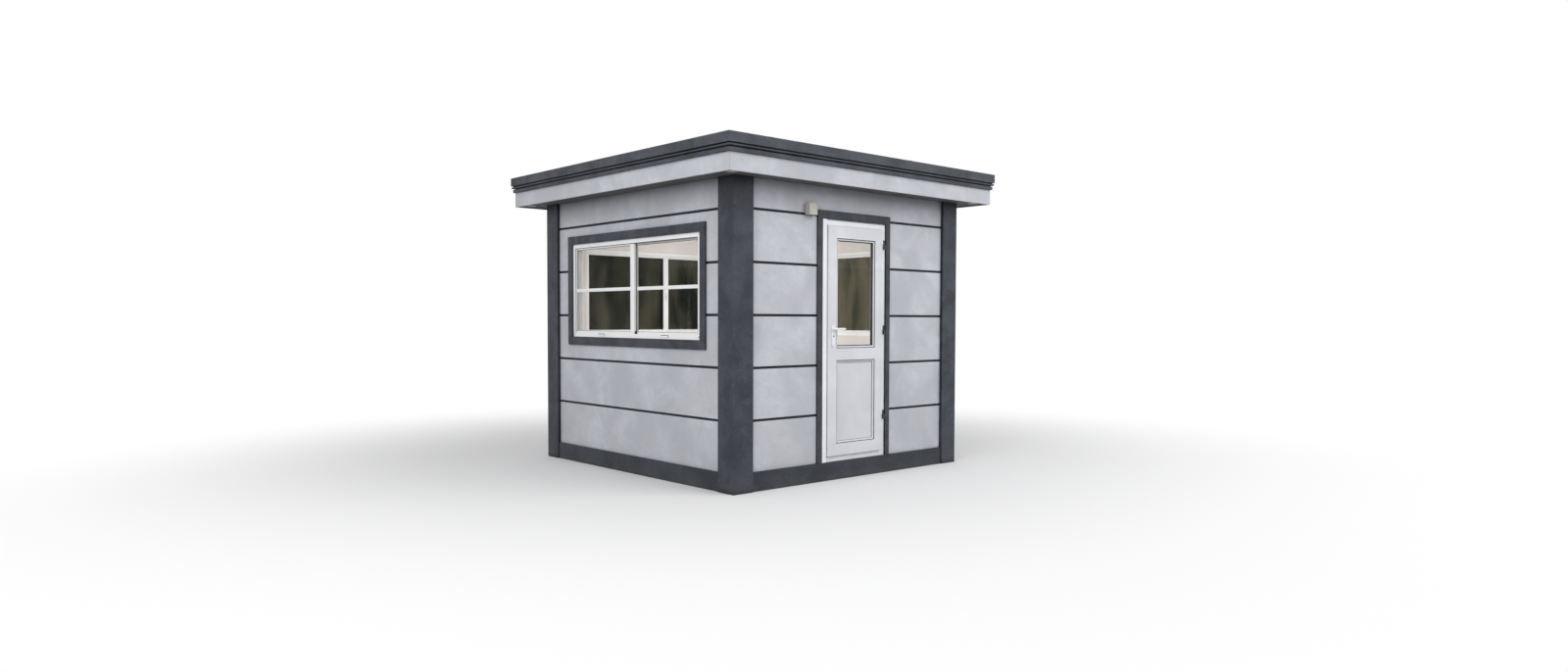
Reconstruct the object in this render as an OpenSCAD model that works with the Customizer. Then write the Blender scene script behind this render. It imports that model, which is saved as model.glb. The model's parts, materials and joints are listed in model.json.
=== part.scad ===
// Security guard booth: a one-room cabin on a steel base, with cased corner posts,
// walls in panel courses, three sliding windows, a half-glazed door and a flat roof
// with a stepped eaves moulding. The door wall faces -Y and the service window -X.
// Origin: middle of the footprint, on the ground. +Z is up, sizes in millimetres.

/* [Plan] */
// Width over the corner posts, along the door wall
body_w = 2820; // [2600:20:3600]
// Depth over the corner posts, along the service window wall
body_d = 3000; // [2800:20:3800]
// Width of a corner post on each face
post_w = 205; // [160:5:260]
// Sheet thickness of a corner post's casing
post_sheet = 3; // [2:0.5:5]
// Distance of the cladding behind the corner posts' faces
clad_in = 30; // [20:1:45]
// Distance of the plinth behind the corner posts' faces
plinth_in = 10; // [4:1:16]

/* [Levels] */
// Height of the plinth, the steel base frame
plinth_h = 160; // [120:10:240]
// Height of the top of the walls above the ground
wall_top = 2550; // [2450:10:2900]
// Thickness of the floor deck
deck_t = 18; // [12:1:30]
// Thickness of the floor covering
vinyl_t = 3; // [2:0.5:6]
// Thickness of the ceiling board
ceiling_t = 10; // [6:1:18]

/* [Walls] */
// Thickness of a cladding panel
clad_t = 16; // [10:1:25]
// Thickness of the insulated wall core
core_t = 74; // [60:2:120]
// Thickness of the inner lining
lining_t = 10; // [6:1:18]
// Open joint between two pieces that butt or mitre
seam = 0.3; // [0.2:0.1:0.8]
// Height from one panel course to the next
course_pitch = 430; // [380:10:480]
// Height of the dark strip between two courses
joint_h = 21; // [8:1:24]
// Distance of that strip behind the cladding's face
joint_in = 6; // [3:1:9]

/* [Base frame] */
// Flange width of the base channels and joists
channel_b = 65; // [55:1:90]
// Web thickness of the base channels and joists
channel_web = 8; // [5:1:12]
// Flange thickness of the base channels and joists
channel_flange = 10; // [6:1:14]
// Width of a corner foot block
foot_w = 80; // [70:5:120]
// Number of floor joists, odd so that one is in the middle
joists = 5; // [3:2:7]

/* [Roof] */
// Overhang of the eaves moulding beyond the corner posts
eaves_out = 260; // [200:10:400]
// Height of the plain band at the top of the moulding
band_h = 75; // [50:5:120]
// Depth of the moulding behind its face
moulding_t = 60; // [50:2:90]
// Height of the bead, a half-round strip
bead_h = 20; // [12:2:30]
// Height of each groove beside the bead
quirk_h = 8; // [4:1:12]
// Depth of each groove beside the bead
quirk_in = 14; // [8:1:20]
// Distance of the bead's crown behind the band
bead_in = 4; // [1:1:8]
// Height of the strip below the bead
strip_h = 30; // [16:2:50]
// Distance of the strip behind the band
strip_in = 16; // [8:1:20]
// Height of the light fascia
fascia_h = 145; // [100:5:220]
// Thickness of the light fascia
fascia_t = 14; // [8:1:24]
// Distance of the fascia behind the band
fascia_in = 32; // [22:1:40]
// How far the fascia hangs below the soffit
fascia_drop = 16; // [6:1:30]
// Thickness of the soffit board
soffit_t = 12; // [8:1:18]
// Thickness of the roof sheet
sheet_t = 5; // [3:1:8]
// Rise of the roof sheet from its edge to its ridge
roof_rise = 40; // [20:5:80]
// Thickness of the roof deck board
roof_deck_t = 18; // [12:1:30]
// Thickness of a roof joist and of the ring beam
joist_t = 45; // [35:5:75]
// Depth of the void between the roof deck and the sheet's edge
roof_void = 57; // [30:1:90]
// Number of roof joists
roof_joists = 5; // [3:1:8]

/* [Soffit lights] */
// Outer radius of a light's rim
light_r = 50; // [35:1:70]
// Radius of a light's lens
lens_r = 42; // [28:1:60]
// How far the rim stands below the soffit
rim_t = 5; // [3:1:10]
// How much the rim's radius narrows down to its face
rim_bevel = 2; // [0.5:0.5:4]
// Depth of a light's can above the soffit's face
can_h = 45; // [30:5:80]
// Wall thickness of that can
can_t = 2; // [1:0.5:4]
// Distance of a light's centre from the corner post's faces
light_out = 114; // [90:2:160]

/* [Windows] */
// Width of a window frame
win_w = 2060; // [1200:20:2200]
// Height of a window frame
win_h = 900; // [600:20:1100]
// Height of the underside of a window frame above the ground
win_sill_h = 1230; // [1000:10:1400]
// Distance of the right wall's window behind the middle of its wall
right_win_back = 120; // [0:10:180]
// Width of the frame's front lip
lip_w = 40; // [32:1:60]
// Thickness of the frame's back and of its ribs' root
frame_back = 16; // [10:1:24]
// Thickness of a lip or of a rib between two tracks
rib_t = 4; // [3:1:8]
// How far the ribs stay below the front lip's edge
rib_short = 8; // [4:1:14]
// Width of a sash track
sash_track = 24; // [20:1:34]
// Width of the empty inner track, for a fly screen
screen_track = 18; // [10:1:24]
// Thickness of a sash
sash_t = 20; // [14:1:28]
// Width of a sash's rails and of its outer stile
sash_w = 40; // [34:1:80]
// Width of a sash's stile where the two sashes meet
meeting_w = 62; // [40:1:80]
// Thickness of a window pane
pane_t = 5; // [4:1:10]
// Depth of the pane in the groove of its sash
pane_in = 10; // [6:1:16]
// Length of a weep slot in a window's lower lip
weep_w = 105; // [30:5:130]
// Height of a weep slot
weep_h = 6; // [4:1:10]
// Height of that slot above the frame's back
weep_up = 4; // [1:0.5:8]

/* [Casings] */
// How far a casing stands in front of the cladding
casing_t = 16; // [10:1:28]
// Width of a window casing
win_casing_w = 78; // [50:2:110]
// Width of the door casing's sides
door_casing_w = 56; // [40:2:90]
// Width of the door casing's head
door_head_w = 73; // [50:1:110]

/* [Door] */
// Width of the door frame
door_w = 810; // [740:10:1000]
// Height of the door frame above the plinth
door_h = 2113; // [1980:1:2200]
// Middle of the doorway, to the right of the wall's middle
door_shift = -8; // [-200:2:200]
// Face width of the door frame
jamb_w = 49; // [40:1:70]
// Depth of the door frame
jamb_d = 70; // [64:1:90]
// How far the stop laps behind the leaf
stop_lap = 18; // [12:1:30]
// Thickness of the leaf
leaf_t = 50; // [44:1:60]
// How far the leaf stands in front of its frame
leaf_proud = 28; // [10:1:32]
// Width of the leaf's stiles and rails
stile_w = 105; // [90:1:120]
// Height of the mid rail's upper edge above the leaf's foot
mid_rail_h = 940; // [800:10:1100]
// Width of the lip that holds glass and panel on the room side
leaf_lip = 12; // [8:1:18]
// Thickness of that lip
leaf_lip_t = 12; // [8:1:16]
// Thickness of the leaf's glass and of its lower panel
infill_t = 20; // [12:1:24]
// Width of a glazing bead
bead_w = 18; // [12:1:26]
// Distance of a bead's outer edge behind the leaf's face
bead_in_leaf = 3; // [1:0.5:6]
// Slope of a bead's face across its width
bead_slope = 5; // [2:0.5:7]
// Gap between the leaf and its frame on the hinge side, head and foot
leaf_gap = 5; // [5:0.5:8]
// Gap on the lock side, wider so that the leaf's inner edge clears as it swings
lock_gap = 8; // [8:0.5:12]

/* [Hinges] */
// Number of hinges
hinges = 3; // [2:1:4]
// Radius of a hinge knuckle
knuckle_r = 7; // [6:0.5:12]
// Length of a whole hinge
hinge_h = 80; // [60:5:140]
// Radius of the hinge pin
hinge_pin_r = 3; // [2:0.5:6]
// Running clearance round the hinge pin
pin_clear = 0.1; // [0.05:0.05:0.3]
// Gap between a hinge's two knuckles
knuckle_gap = 1; // [0.5:0.5:2]
// Distance of a knuckle in front of the leaf's face
knuckle_stand = 1; // [0.5:0.5:4]
// Thickness of a hinge plate
hinge_plate_t = 4; // [3:0.5:6]
// Width of a hinge plate
hinge_plate_w = 26; // [20:1:40]
// How far the block behind the fixed plate keeps from its inner edge
hinge_block_in = 3; // [2:0.5:6]
// Solid upper end of the moving knuckle
hinge_cap = 4; // [3:0.5:8]
// Gap between the pin's end and that upper end
pin_end_gap = 1; // [0.5:0.5:3]
// Height of the lowest hinge above the leaf's foot
hinge_low = 325; // [150:5:400]
// Distance of the highest hinge below the leaf's top
hinge_high = 136; // [110:2:400]

/* [Handle] */
// Distance of the spindle from the leaf's lock edge
spindle_in = 60; // [45:1:70]
// Height of the lever above the leaf's foot
lever_h = 1108; // [900:2:1200]
// Length of the lever from its spindle
lever_len = 115; // [100:5:150]
// Radius of the lever
lever_r = 10; // [7:0.5:13]
// Distance of the lever's middle from its plate
lever_out = 36; // [30:1:60]
// Width of a handle plate
plate_w = 40; // [30:1:50]
// Height of a handle plate
plate_h = 190; // [150:5:260]
// Gap between a lever's hub and its plate
hub_gap = 0.5; // [0.3:0.1:1]
// Thickness of a handle plate
plate_t = 8; // [5:1:12]
// Distance of the spindle below the plate's upper end
plate_top = 38; // [25:1:60]
// Radius of the spindle
spindle_r = 5; // [4:0.5:6]
// Room round the spindle inside the leaf
spindle_room = 3; // [2:0.5:5]
// How far the spindle stands out of a plate
spindle_out = 2; // [1:0.5:4]
// Distance of the keyhole below the spindle
key_drop = 62; // [50:1:92]
// Radius of the keyhole
key_r = 5; // [3:0.5:7]

/* [Junction box] */
// Width of the box on the door wall
jbox_w = 95; // [60:5:140]
// Height of the box
jbox_h = 97; // [60:1:140]
// Depth of the box
jbox_d = 55; // [35:5:80]
// Depth of the box's lid
jbox_lid = 14; // [8:1:25]
// Width and depth of the groove behind the lid
jbox_groove = 1.5; // [1:0.5:3]
// Distance of the box from the door casing
jbox_gap = 45; // [20:5:120]
// Height of the box's underside above the top of the door frame
jbox_up = 19; // [0:1:80]

/* [Hidden] */
$fn = 48;

// cut depth past a face, reach of a mitre cut, and the four wall names by number
eps = 1;
mitre_reach = 200;
FRONT = 0;
LEFT = 1;
BACK = 2;
RIGHT = 3;

// distances from the posts' faces to the layers of a wall
core_in = clad_in + clad_t;
lining_in = core_in + core_t;
room_in = lining_in + lining_t;

// door, from the left end of the door wall and from the posts' faces
door_u0 = body_w / 2 + door_shift - door_w / 2;
door_u1 = door_u0 + door_w;
door_z1 = plinth_h + door_h;
leaf_u0 = door_u0 + jamb_w + lock_gap;
leaf_u1 = door_u1 - jamb_w - leaf_gap;
leaf_z0 = plinth_h + jamb_w + leaf_gap;
leaf_z1 = door_z1 - jamb_w - leaf_gap;
leaf_d0 = clad_in - leaf_proud;
leaf_d1 = leaf_d0 + leaf_t;
leaf_w = leaf_u1 - leaf_u0;
leaf_h = leaf_z1 - leaf_z0;
hinge_u = leaf_u1 + leaf_gap / 2;
hinge_d = leaf_d0 - knuckle_r - knuckle_stand;
knuckle_back = knuckle_r + knuckle_stand;
knuckle_h = (hinge_h - knuckle_gap) / 2;
infill_d1 = leaf_d1 - leaf_lip_t;
infill_d0 = infill_d1 - infill_t;
spindle_u = leaf_u0 + spindle_in;
spindle_z = leaf_z0 + lever_h;

// windows
sash_len = (win_w - 2 * frame_back + meeting_w) / 2;
sash_h = win_h - 2 * frame_back;
inner_track = rib_t + sash_track + rib_t;
screen_d = inner_track + sash_track + rib_t;
frame_d = screen_d + screen_track + rib_t;

// roof levels
fascia_z0 = wall_top - fascia_drop;
fascia_z1 = fascia_z0 + fascia_h;
moulding_h = strip_h + 2 * quirk_h + bead_h + band_h;
moulding_z1 = fascia_z1 + moulding_h;
roof_deck_z1 = moulding_z1 - roof_void;
roof_deck_z0 = roof_deck_z1 - roof_deck_t;
fascia_out = eaves_out - fascia_in;
moulding_back = eaves_out - moulding_t;

// panel courses
courses = floor((wall_top - plinth_h) / course_pitch);
function joint_z(k) = plinth_h + k * course_pitch - joint_h;
course_below = plinth_h + floor((win_sill_h - plinth_h) / course_pitch) * course_pitch - eps;
course_above = plinth_h + ceil((win_sill_h + win_h - plinth_h) / course_pitch) * course_pitch;
door_cut_z = plinth_h + ceil(door_h / course_pitch) * course_pitch - joint_h;

// Wall frames of reference: u runs from left to right as seen from outside, d goes
// inwards from the corner posts' faces, z is up from the ground.
function wall_len(side) = side % 2 == 0 ? body_w : body_d;
function wall_corner(side) =
    [(side == FRONT || side == LEFT) ? -body_w / 2 : body_w / 2,
     (side == FRONT || side == RIGHT) ? -body_d / 2 : body_d / 2, 0];
module on_wall(side)
    translate(wall_corner(side)) rotate([0, 0, -90 * side]) children();

// A box given by its lowest and highest corners
module box(a, b) translate(a) cube(b - a);

// The rectangle of a plan, grown by out beyond the corner posts, between two levels
module plan_block(out, z0, z1)
    box([-body_w / 2 - out, -body_d / 2 - out, z0], [body_w / 2 + out, body_d / 2 + out, z1]);

module plan_ring(out, inside, z0, z1)
    difference() {
        plan_block(out, z0, z1);
        plan_block(inside, z0 - eps, z1 + eps);
    }

// Four mitred sides round a rectangle in a wall's plane. The child is their section:
// x is the depth inwards, y the distance in from the rectangle's edge.
module mitred_frame(w, h, face)
    for (k = [0 : 3]) {
        len = k % 2 == 0 ? w : h;
        translate([(k == 1 || k == 2) ? w : 0, 0, k >= 2 ? h : 0]) rotate([0, -90 * k, 0])
            intersection() {
                rotate([90, 0, 90]) linear_extrude(len) children();
                translate([0, mitre_reach, 0]) rotate([90, 0, 0])
                    linear_extrude(2 * mitre_reach)
                        polygon([[seam - eps, -eps], [len - seam + eps, -eps],
                                 [len - seam - face, face], [seam + face, face]]);
            }
    }

function win_u0(side) = (wall_len(side) - win_w) / 2 + (side == RIGHT ? right_win_back : 0);

// Through hole of a window
module window_hole(side)
    box([win_u0(side), -eps, win_sill_h],
        [win_u0(side) + win_w, room_in + eps, win_sill_h + win_h]);

// Base

module channel_section()
    union() {
        square([channel_web, plinth_h]);
        square([channel_b, channel_flange]);
        translate([0, plinth_h - channel_flange]) square([channel_b, channel_flange]);
    }

// A channel along +X with its web towards -Y
module channel(length)
    rotate([90, 0, 90]) linear_extrude(length) channel_section();

module post_outline()
    difference() {
        square(post_w);
        translate([core_in, core_in]) square(post_w);
    }

module base_frame()
    color("#45484d")
    difference() {
        for (side = [FRONT : RIGHT])
            on_wall(side) {
                translate([core_in, plinth_in, 0]) channel(wall_len(side) - 2 * core_in);
                translate([core_in, core_in, 0]) cube([foot_w, foot_w, plinth_h]);
            }
        for (side = [FRONT : RIGHT])
            on_wall(side)
                translate([0, 0, -eps]) linear_extrude(plinth_h + 2 * eps) post_outline();
    }

// A floor joist along +X, its ends coped to run in between the channels' flanges
module joist(length)
    union() {
        translate([0, -channel_web / 2, channel_flange + seam])
            cube([length, channel_web, plinth_h - 2 * (channel_flange + seam)]);
        translate([joist_cope, -channel_web / 2, 0])
            cube([length - 2 * joist_cope, channel_web, plinth_h]);
        for (z = [0, plinth_h - channel_flange])
            translate([joist_cope, -channel_b / 2, z])
                cube([length - 2 * joist_cope, channel_b, channel_flange]);
    }

joist_end = plinth_in + channel_web + seam;
joist_cope = channel_b - channel_web;

module floor_joists()
    color("#45484d")
    for (k = [1 : joists])
        translate([-body_w / 2 + joist_end, -body_d / 2 + body_d * k / (joists + 1), 0])
            joist(body_w - 2 * joist_end);

module floor_deck()
    color("#9a8a70")
    difference() {
        plan_block(-core_in, plinth_h, plinth_h + deck_t);
        on_wall(FRONT)
            box([door_u0, 0, plinth_h - eps],
                [door_u1, clad_in + jamb_d, plinth_h + deck_t + eps]);
    }

module floor_covering()
    color("#8d8f92")
    union() {
        plan_block(-room_in, plinth_h + deck_t, plinth_h + deck_t + vinyl_t);
        on_wall(FRONT)
            box([door_u0, clad_in + jamb_d, plinth_h + deck_t],
                [door_u1, room_in + eps, plinth_h + deck_t + vinyl_t]);
    }

module corner_posts()
    color("#4b4f56")
    for (side = [FRONT : RIGHT])
        on_wall(side) linear_extrude(wall_top)
            difference() {
                post_outline();
                translate([post_sheet, post_sheet]) difference() {
                    square(post_w - 2 * post_sheet);
                    translate([core_in - 2 * post_sheet, core_in - 2 * post_sheet])
                        square(post_w);
                }
            }

// Walls

// The core of the door wall between two places along it, above a level
module front_core(u0, u1, z0)
    color("#c9c3b6")
    on_wall(FRONT) box([u0, core_in, z0], [u1, lining_in, wall_top]);

module front_wall_left() front_core(lining_in, door_u0, plinth_h + deck_t);
module front_wall_right() front_core(door_u1, body_w - lining_in, plinth_h + deck_t);
module front_wall_over() front_core(door_u0, door_u1, door_z1);

// One layer of a wall with a window, as four panels: beside, below and above the hole
module panels(side, corner, d0, d1)
    difference() {
        box([corner, d0, plinth_h + deck_t], [wall_len(side) - corner, d1, wall_top]);
        window_hole(side);
        jamb_seams(side, 0, wall_top + eps);
    }

// The open joints that run down in line with a window's two sides
module jamb_seams(side, z0, z1)
    for (u = [win_u0(side) - seam, win_u0(side) + win_w])
        box([u, -eps, z0], [u + seam, room_in + eps, z1]);

// The core of a wall with a window; the side walls run past the others at the corners
module window_core(side, corner)
    color("#c9c3b6")
    on_wall(side) panels(side, corner, core_in, lining_in);

module left_wall() window_core(LEFT, core_in);
module right_wall() window_core(RIGHT, core_in);
module back_wall() window_core(BACK, lining_in);

// All the panel courses of one wall, from the plinth to the top of the wall
module courses_of(side)
    for (k = [0 : courses])
        box([post_w, clad_in, plinth_h + k * course_pitch],
            [wall_len(side) - post_w, core_in, k < courses ? joint_z(k + 1) : wall_top]);

module window_cladding(side)
    color("#b9bcc4")
    on_wall(side)
        difference() {
            courses_of(side);
            window_hole(side);
            jamb_seams(side, course_below, course_above);
        }

module left_cladding() window_cladding(LEFT);
module back_cladding() window_cladding(BACK);
module right_cladding() window_cladding(RIGHT);

module front_cladding()
    color("#b9bcc4")
    on_wall(FRONT)
        difference() {
            courses_of(FRONT);
            box([door_u0, 0, 0], [door_u1, core_in + eps, door_cut_z]);
        }

module wall_strips(side)
    for (k = [1 : courses])
        box([post_w, clad_in + joint_in, joint_z(k)],
            [wall_len(side) - post_w, core_in, joint_z(k) + joint_h]);

module joint_strips()
    color("#33363c") {
        for (side = [LEFT, BACK, RIGHT])
            on_wall(side)
                difference() {
                    wall_strips(side);
                    window_hole(side);
                }
        on_wall(FRONT)
            difference() {
                wall_strips(FRONT);
                box([door_u0, 0, 0], [door_u1, core_in + eps, door_z1]);
            }
    }

module wall_linings()
    color("#ded6c8") {
        for (side = [LEFT, RIGHT])
            on_wall(side) panels(side, lining_in, lining_in, room_in);
        on_wall(BACK) panels(BACK, room_in + seam, lining_in, room_in);
        on_wall(FRONT) {
            box([room_in + seam, lining_in, plinth_h + deck_t],
                [door_u0, room_in, wall_top]);
            box([door_u1, lining_in, plinth_h + deck_t],
                [body_w - room_in - seam, room_in, wall_top]);
            box([door_u0 + seam, lining_in, door_z1],
                [door_u1 - seam, room_in, wall_top]);
        }
    }

module ceiling()
    color("#e6e0d4")
    plan_block(-room_in, wall_top - ceiling_t, wall_top);

// Roof

module roof_frame()
    color("#a58a63")
    union() {
        plan_ring(-core_in, -core_in - joist_t, wall_top, roof_deck_z0);
        for (k = [1 : roof_joists])
            translate([-body_w / 2 + core_in,
                       -body_d / 2 + body_d * k / (roof_joists + 1) - joist_t / 2, wall_top])
                cube([body_w - 2 * core_in, joist_t, roof_deck_z0 - wall_top]);
    }

module roof_deck()
    color("#9a8a70")
    plan_block(moulding_back, roof_deck_z0, roof_deck_z1);

// A hipped crown: the same low gable both ways, so that all four eaves are level
module crown(out, z0, rise)
    intersection() {
        translate([-body_w / 2 - out - eps, 0, z0]) rotate([90, 0, 90])
            linear_extrude(body_w + 2 * (out + eps)) gable(body_d + 2 * out, rise);
        translate([0, body_d / 2 + out + eps, z0]) rotate([90, 0, 0])
            linear_extrude(body_d + 2 * (out + eps)) gable(body_w + 2 * out, rise);
    }

module gable(span, rise)
    polygon([[-span / 2, 0], [span / 2, 0], [span / 2, sheet_t],
             [0, sheet_t + rise], [-span / 2, sheet_t]]);

module roof_sheet()
    color("#3d4046")
    difference() {
        crown(eaves_out, moulding_z1, roof_rise);
        translate([0, 0, moulding_z1 - sheet_t])
            crown_void(moulding_back, roof_rise);
    }

// The hollow under the sheet, one sheet thickness below the crown
module crown_void(out, rise)
    intersection() {
        crown(eaves_out, 0, rise);
        plan_block(out, -eps, rise + sheet_t);
    }

// Section of the eaves moulding at one side: y is out from the corner posts, z is up
// from the moulding's foot. The bead between two grooves is half round.
module moulding_section()
    difference() {
        translate([moulding_back, 0]) square([moulding_t, moulding_h]);
        translate([eaves_out - strip_in, -eps]) square([moulding_t, strip_h + eps]);
        translate([eaves_out - strip_in - quirk_in, strip_h])
            square([moulding_t, quirk_h + eps]);
        translate([eaves_out - quirk_in - bead_in, strip_h + quirk_h])
            difference() {
                square([moulding_t, bead_h + quirk_h]);
                translate([quirk_in - bead_h / 2, bead_h / 2]) circle(d = bead_h);
                square([quirk_in - bead_h / 2, bead_h]);
            }
    }

// Four mitred runs round the roof. The child is their section: x is the distance out
// from the corner posts, y the height above the ground.
module eaves_ring()
    for (side = [FRONT : RIGHT]) {
        half = wall_len(side) / 2;
        other = wall_len(side + 1) / 2;
        rotate([0, 0, -90 * side])
            intersection() {
                translate([0, -other, 0]) rotate([90, 0, -90])
                    linear_extrude(2 * (half + eaves_out), center = true) children();
                mitre_wedge(half, other);
            }
    }

module mitre_wedge(half, other)
    translate([0, -seam, 0]) linear_extrude(moulding_z1 + eps)
        polygon([[0, half - other], [half + eaves_out + eps, -other - eaves_out - eps],
                 [-half - eaves_out - eps, -other - eaves_out - eps]]);

module eaves_moulding()
    color("#43474d")
    eaves_ring() translate([0, fascia_z1]) moulding_section();

module fascia()
    color("#b4b6bd")
    eaves_ring() translate([fascia_out - fascia_t, fascia_z0]) square([fascia_t, fascia_h]);

module each_light()
    for (sx = [-1, 1], sy = [-1, 1])
        translate([sx * (body_w / 2 + light_out), sy * (body_d / 2 + light_out), wall_top])
            children();

module soffit()
    color("#5a5b5c")
    difference() {
        eaves_ring() translate([-core_in, wall_top])
            square([fascia_out - fascia_t + core_in, soffit_t]);
        each_light() translate([0, 0, -eps]) cylinder(r = lens_r, h = soffit_t + 2 * eps);
    }

module soffit_light_rims()
    color("#d8d6d0")
    each_light()
        difference() {
            union() {
                translate([0, 0, -rim_t])
                    cylinder(r1 = light_r - rim_bevel, r2 = light_r, h = rim_t);
                cylinder(r = lens_r, h = can_h);
            }
            translate([0, 0, -rim_t - eps])
                cylinder(r = lens_r - can_t, h = can_h - can_t + rim_t + eps);
        }

module soffit_light_lenses()
    color("#efe6c8")
    each_light() translate([0, 0, -rim_t / 2]) cylinder(r = lens_r - can_t, h = rim_t);

// Windows

// Section of a window frame: its back, its front lip and the ribs between the tracks
module window_section()
    union() {
        square([frame_d, frame_back]);
        square([rib_t, lip_w]);
        for (d = [inner_track - rib_t, screen_d - rib_t, frame_d - rib_t])
            translate([d, 0]) square([rib_t, lip_w - rib_short]);
    }

module at_window(side)
    on_wall(side) translate([win_u0(side), clad_in, win_sill_h]) children();

module window_frame(side)
    color("#e9eaee")
    at_window(side)
        difference() {
            mitred_frame(win_w, win_h, lip_w) window_section();
            for (u = [win_w / 4, win_w * 3 / 4])
                translate([u - weep_w / 2, -eps, frame_back + weep_up])
                    cube([weep_w, rib_t + 2 * eps, weep_h]);
        }

// A sash with its meeting stile on the right: rails over the full length, stiles between them,
// all grooved for the pane
module sash() {
    stile_h = sash_h - 2 * (sash_w + seam);
    difference() {
        union() {
            for (z = [0, sash_h - sash_w]) translate([0, 0, z]) cube([sash_len, sash_t, sash_w]);
            translate([0, 0, sash_w + seam]) cube([sash_w, sash_t, stile_h]);
            translate([sash_len - meeting_w, 0, sash_w + seam]) cube([meeting_w, sash_t, stile_h]);
        }
        sash_pane();
    }
}

module sash_pane()
    translate([sash_w - pane_in, (sash_t - pane_t) / 2, sash_w - pane_in])
        cube([sash_len - sash_w - meeting_w + 2 * pane_in, pane_t, sash_h - 2 * (sash_w - pane_in)]);

// Both sashes of a window: the left one in the outer track, the right one behind it, turned
// end for end
module each_sash() {
    play = (sash_track - sash_t) / 2;
    translate([frame_back, rib_t + play, frame_back]) children();
    translate([win_w - frame_back, inner_track + play, frame_back]) mirror([1, 0, 0]) children();
}

module window_sashes(side)
    color("#e9eaee")
    at_window(side) each_sash() sash();

module left_window_frame() window_frame(LEFT);
module back_window_frame() window_frame(BACK);
module right_window_frame() window_frame(RIGHT);
module left_window_sashes() window_sashes(LEFT);
module plain_window_sashes()
    for (side = [BACK, RIGHT]) window_sashes(side);

module window_glass()
    color([0.55, 0.62, 0.62, 0.4])
    for (side = [LEFT, BACK, RIGHT])
        at_window(side) each_sash() sash_pane();

// A flat casing round a window: head and sill over the full width, sides between them
module window_casing(side)
    at_window(side) {
        for (z = [-win_casing_w, win_h])
            translate([-win_casing_w, -casing_t, z])
                cube([win_w + 2 * win_casing_w, casing_t, win_casing_w]);
        for (u = [-win_casing_w, win_w])
            translate([u, -casing_t, seam])
                cube([win_casing_w, casing_t, win_h - 2 * seam]);
    }

module window_casings()
    color("#4b4f56")
    for (side = [LEFT, BACK, RIGHT]) window_casing(side);

// Door

module door_casing()
    color("#4b4f56")
    on_wall(FRONT) {
        for (u = [door_u0 - door_casing_w, door_u1])
            box([u, clad_in - casing_t, plinth_h],
                [u + door_casing_w, clad_in, door_z1 - seam]);
        box([door_u0 - door_casing_w, clad_in - casing_t, door_z1],
            [door_u1 + door_casing_w, clad_in, door_z1 + door_head_w]);
    }

module door_frame()
    color("#e9eaee")
    on_wall(FRONT) translate([door_u0, clad_in, plinth_h])
        mitred_frame(door_w, door_h, jamb_w + stop_lap) {
            union() {
                square([jamb_d, jamb_w]);
                translate([leaf_d1 + leaf_gap - clad_in, 0])
                    square([jamb_d - (leaf_d1 + leaf_gap - clad_in), jamb_w + stop_lap]);
            }
        }

// An infill's place in the leaf, given by its level: the glass above, the panel below
function infill_z(upper) =
    upper ? [leaf_z0 + mid_rail_h, leaf_z1 - stile_w]
          : [leaf_z0 + stile_w, leaf_z0 + mid_rail_h - stile_w];

module infill_block(upper, d0, d1)
    box([leaf_u0 + stile_w, d0, infill_z(upper)[0]],
        [leaf_u1 - stile_w, d1, infill_z(upper)[1]]);

// Two stiles and the top and bottom rails, with a lip behind the glass and the panel
module leaf_section()
    union() {
        square([leaf_t, stile_w]);
        translate([leaf_t - leaf_lip_t, 0]) square([leaf_lip_t, stile_w + leaf_lip]);
    }

module mid_rail()
    difference() {
        box([leaf_u0 + stile_w + seam, leaf_d0, infill_z(false)[1] - leaf_lip],
            [leaf_u1 - stile_w - seam, leaf_d1, infill_z(true)[0] + leaf_lip]);
        for (upper = [true, false]) infill_block(upper, leaf_d0 - eps, infill_d1);
        for (u = [leaf_u0 + stile_w, leaf_u1 - stile_w - leaf_lip - seam])
            box([u, infill_d1 - seam, leaf_z0], [u + leaf_lip + seam, leaf_d1 + eps, leaf_z1]);
    }

module door_leaf()
    color("#eceef1")
    on_wall(FRONT) {
        difference() {
            translate([leaf_u0, leaf_d0, leaf_z0])
                mitred_frame(leaf_w, leaf_h, stile_w + leaf_lip) leaf_section();
            translate([spindle_u, leaf_d0 - eps, spindle_z]) rotate([-90, 0, 0])
                cylinder(r = spindle_r + spindle_room, h = leaf_t + 2 * eps);
        }
        mid_rail();
    }

module door_glass()
    color([0.55, 0.62, 0.62, 0.4])
    on_wall(FRONT) infill_block(true, infill_d0, infill_d1);

module door_panel()
    color("#e6e8ec")
    on_wall(FRONT) infill_block(false, infill_d0, infill_d1);

module door_beads()
    color("#f1f2f4")
    on_wall(FRONT)
        for (upper = [true, false])
            translate([leaf_u0 + stile_w, leaf_d0, infill_z(upper)[0]])
                mitred_frame(leaf_w - 2 * stile_w, infill_z(upper)[1] - infill_z(upper)[0], bead_w)
                    polygon([[bead_in_leaf, 0], [infill_d0 - leaf_d0, 0],
                             [infill_d0 - leaf_d0, bead_w], [bead_in_leaf + bead_slope, bead_w]]);

// Hinges

function hinge_z(k) = leaf_z0 + hinge_low + (leaf_h - hinge_low - hinge_high) * k / (hinges - 1);

module each_hinge()
    on_wall(FRONT)
        for (k = [0 : hinges - 1])
            translate([hinge_u, hinge_d, hinge_z(k) - hinge_h / 2]) children();

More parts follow.
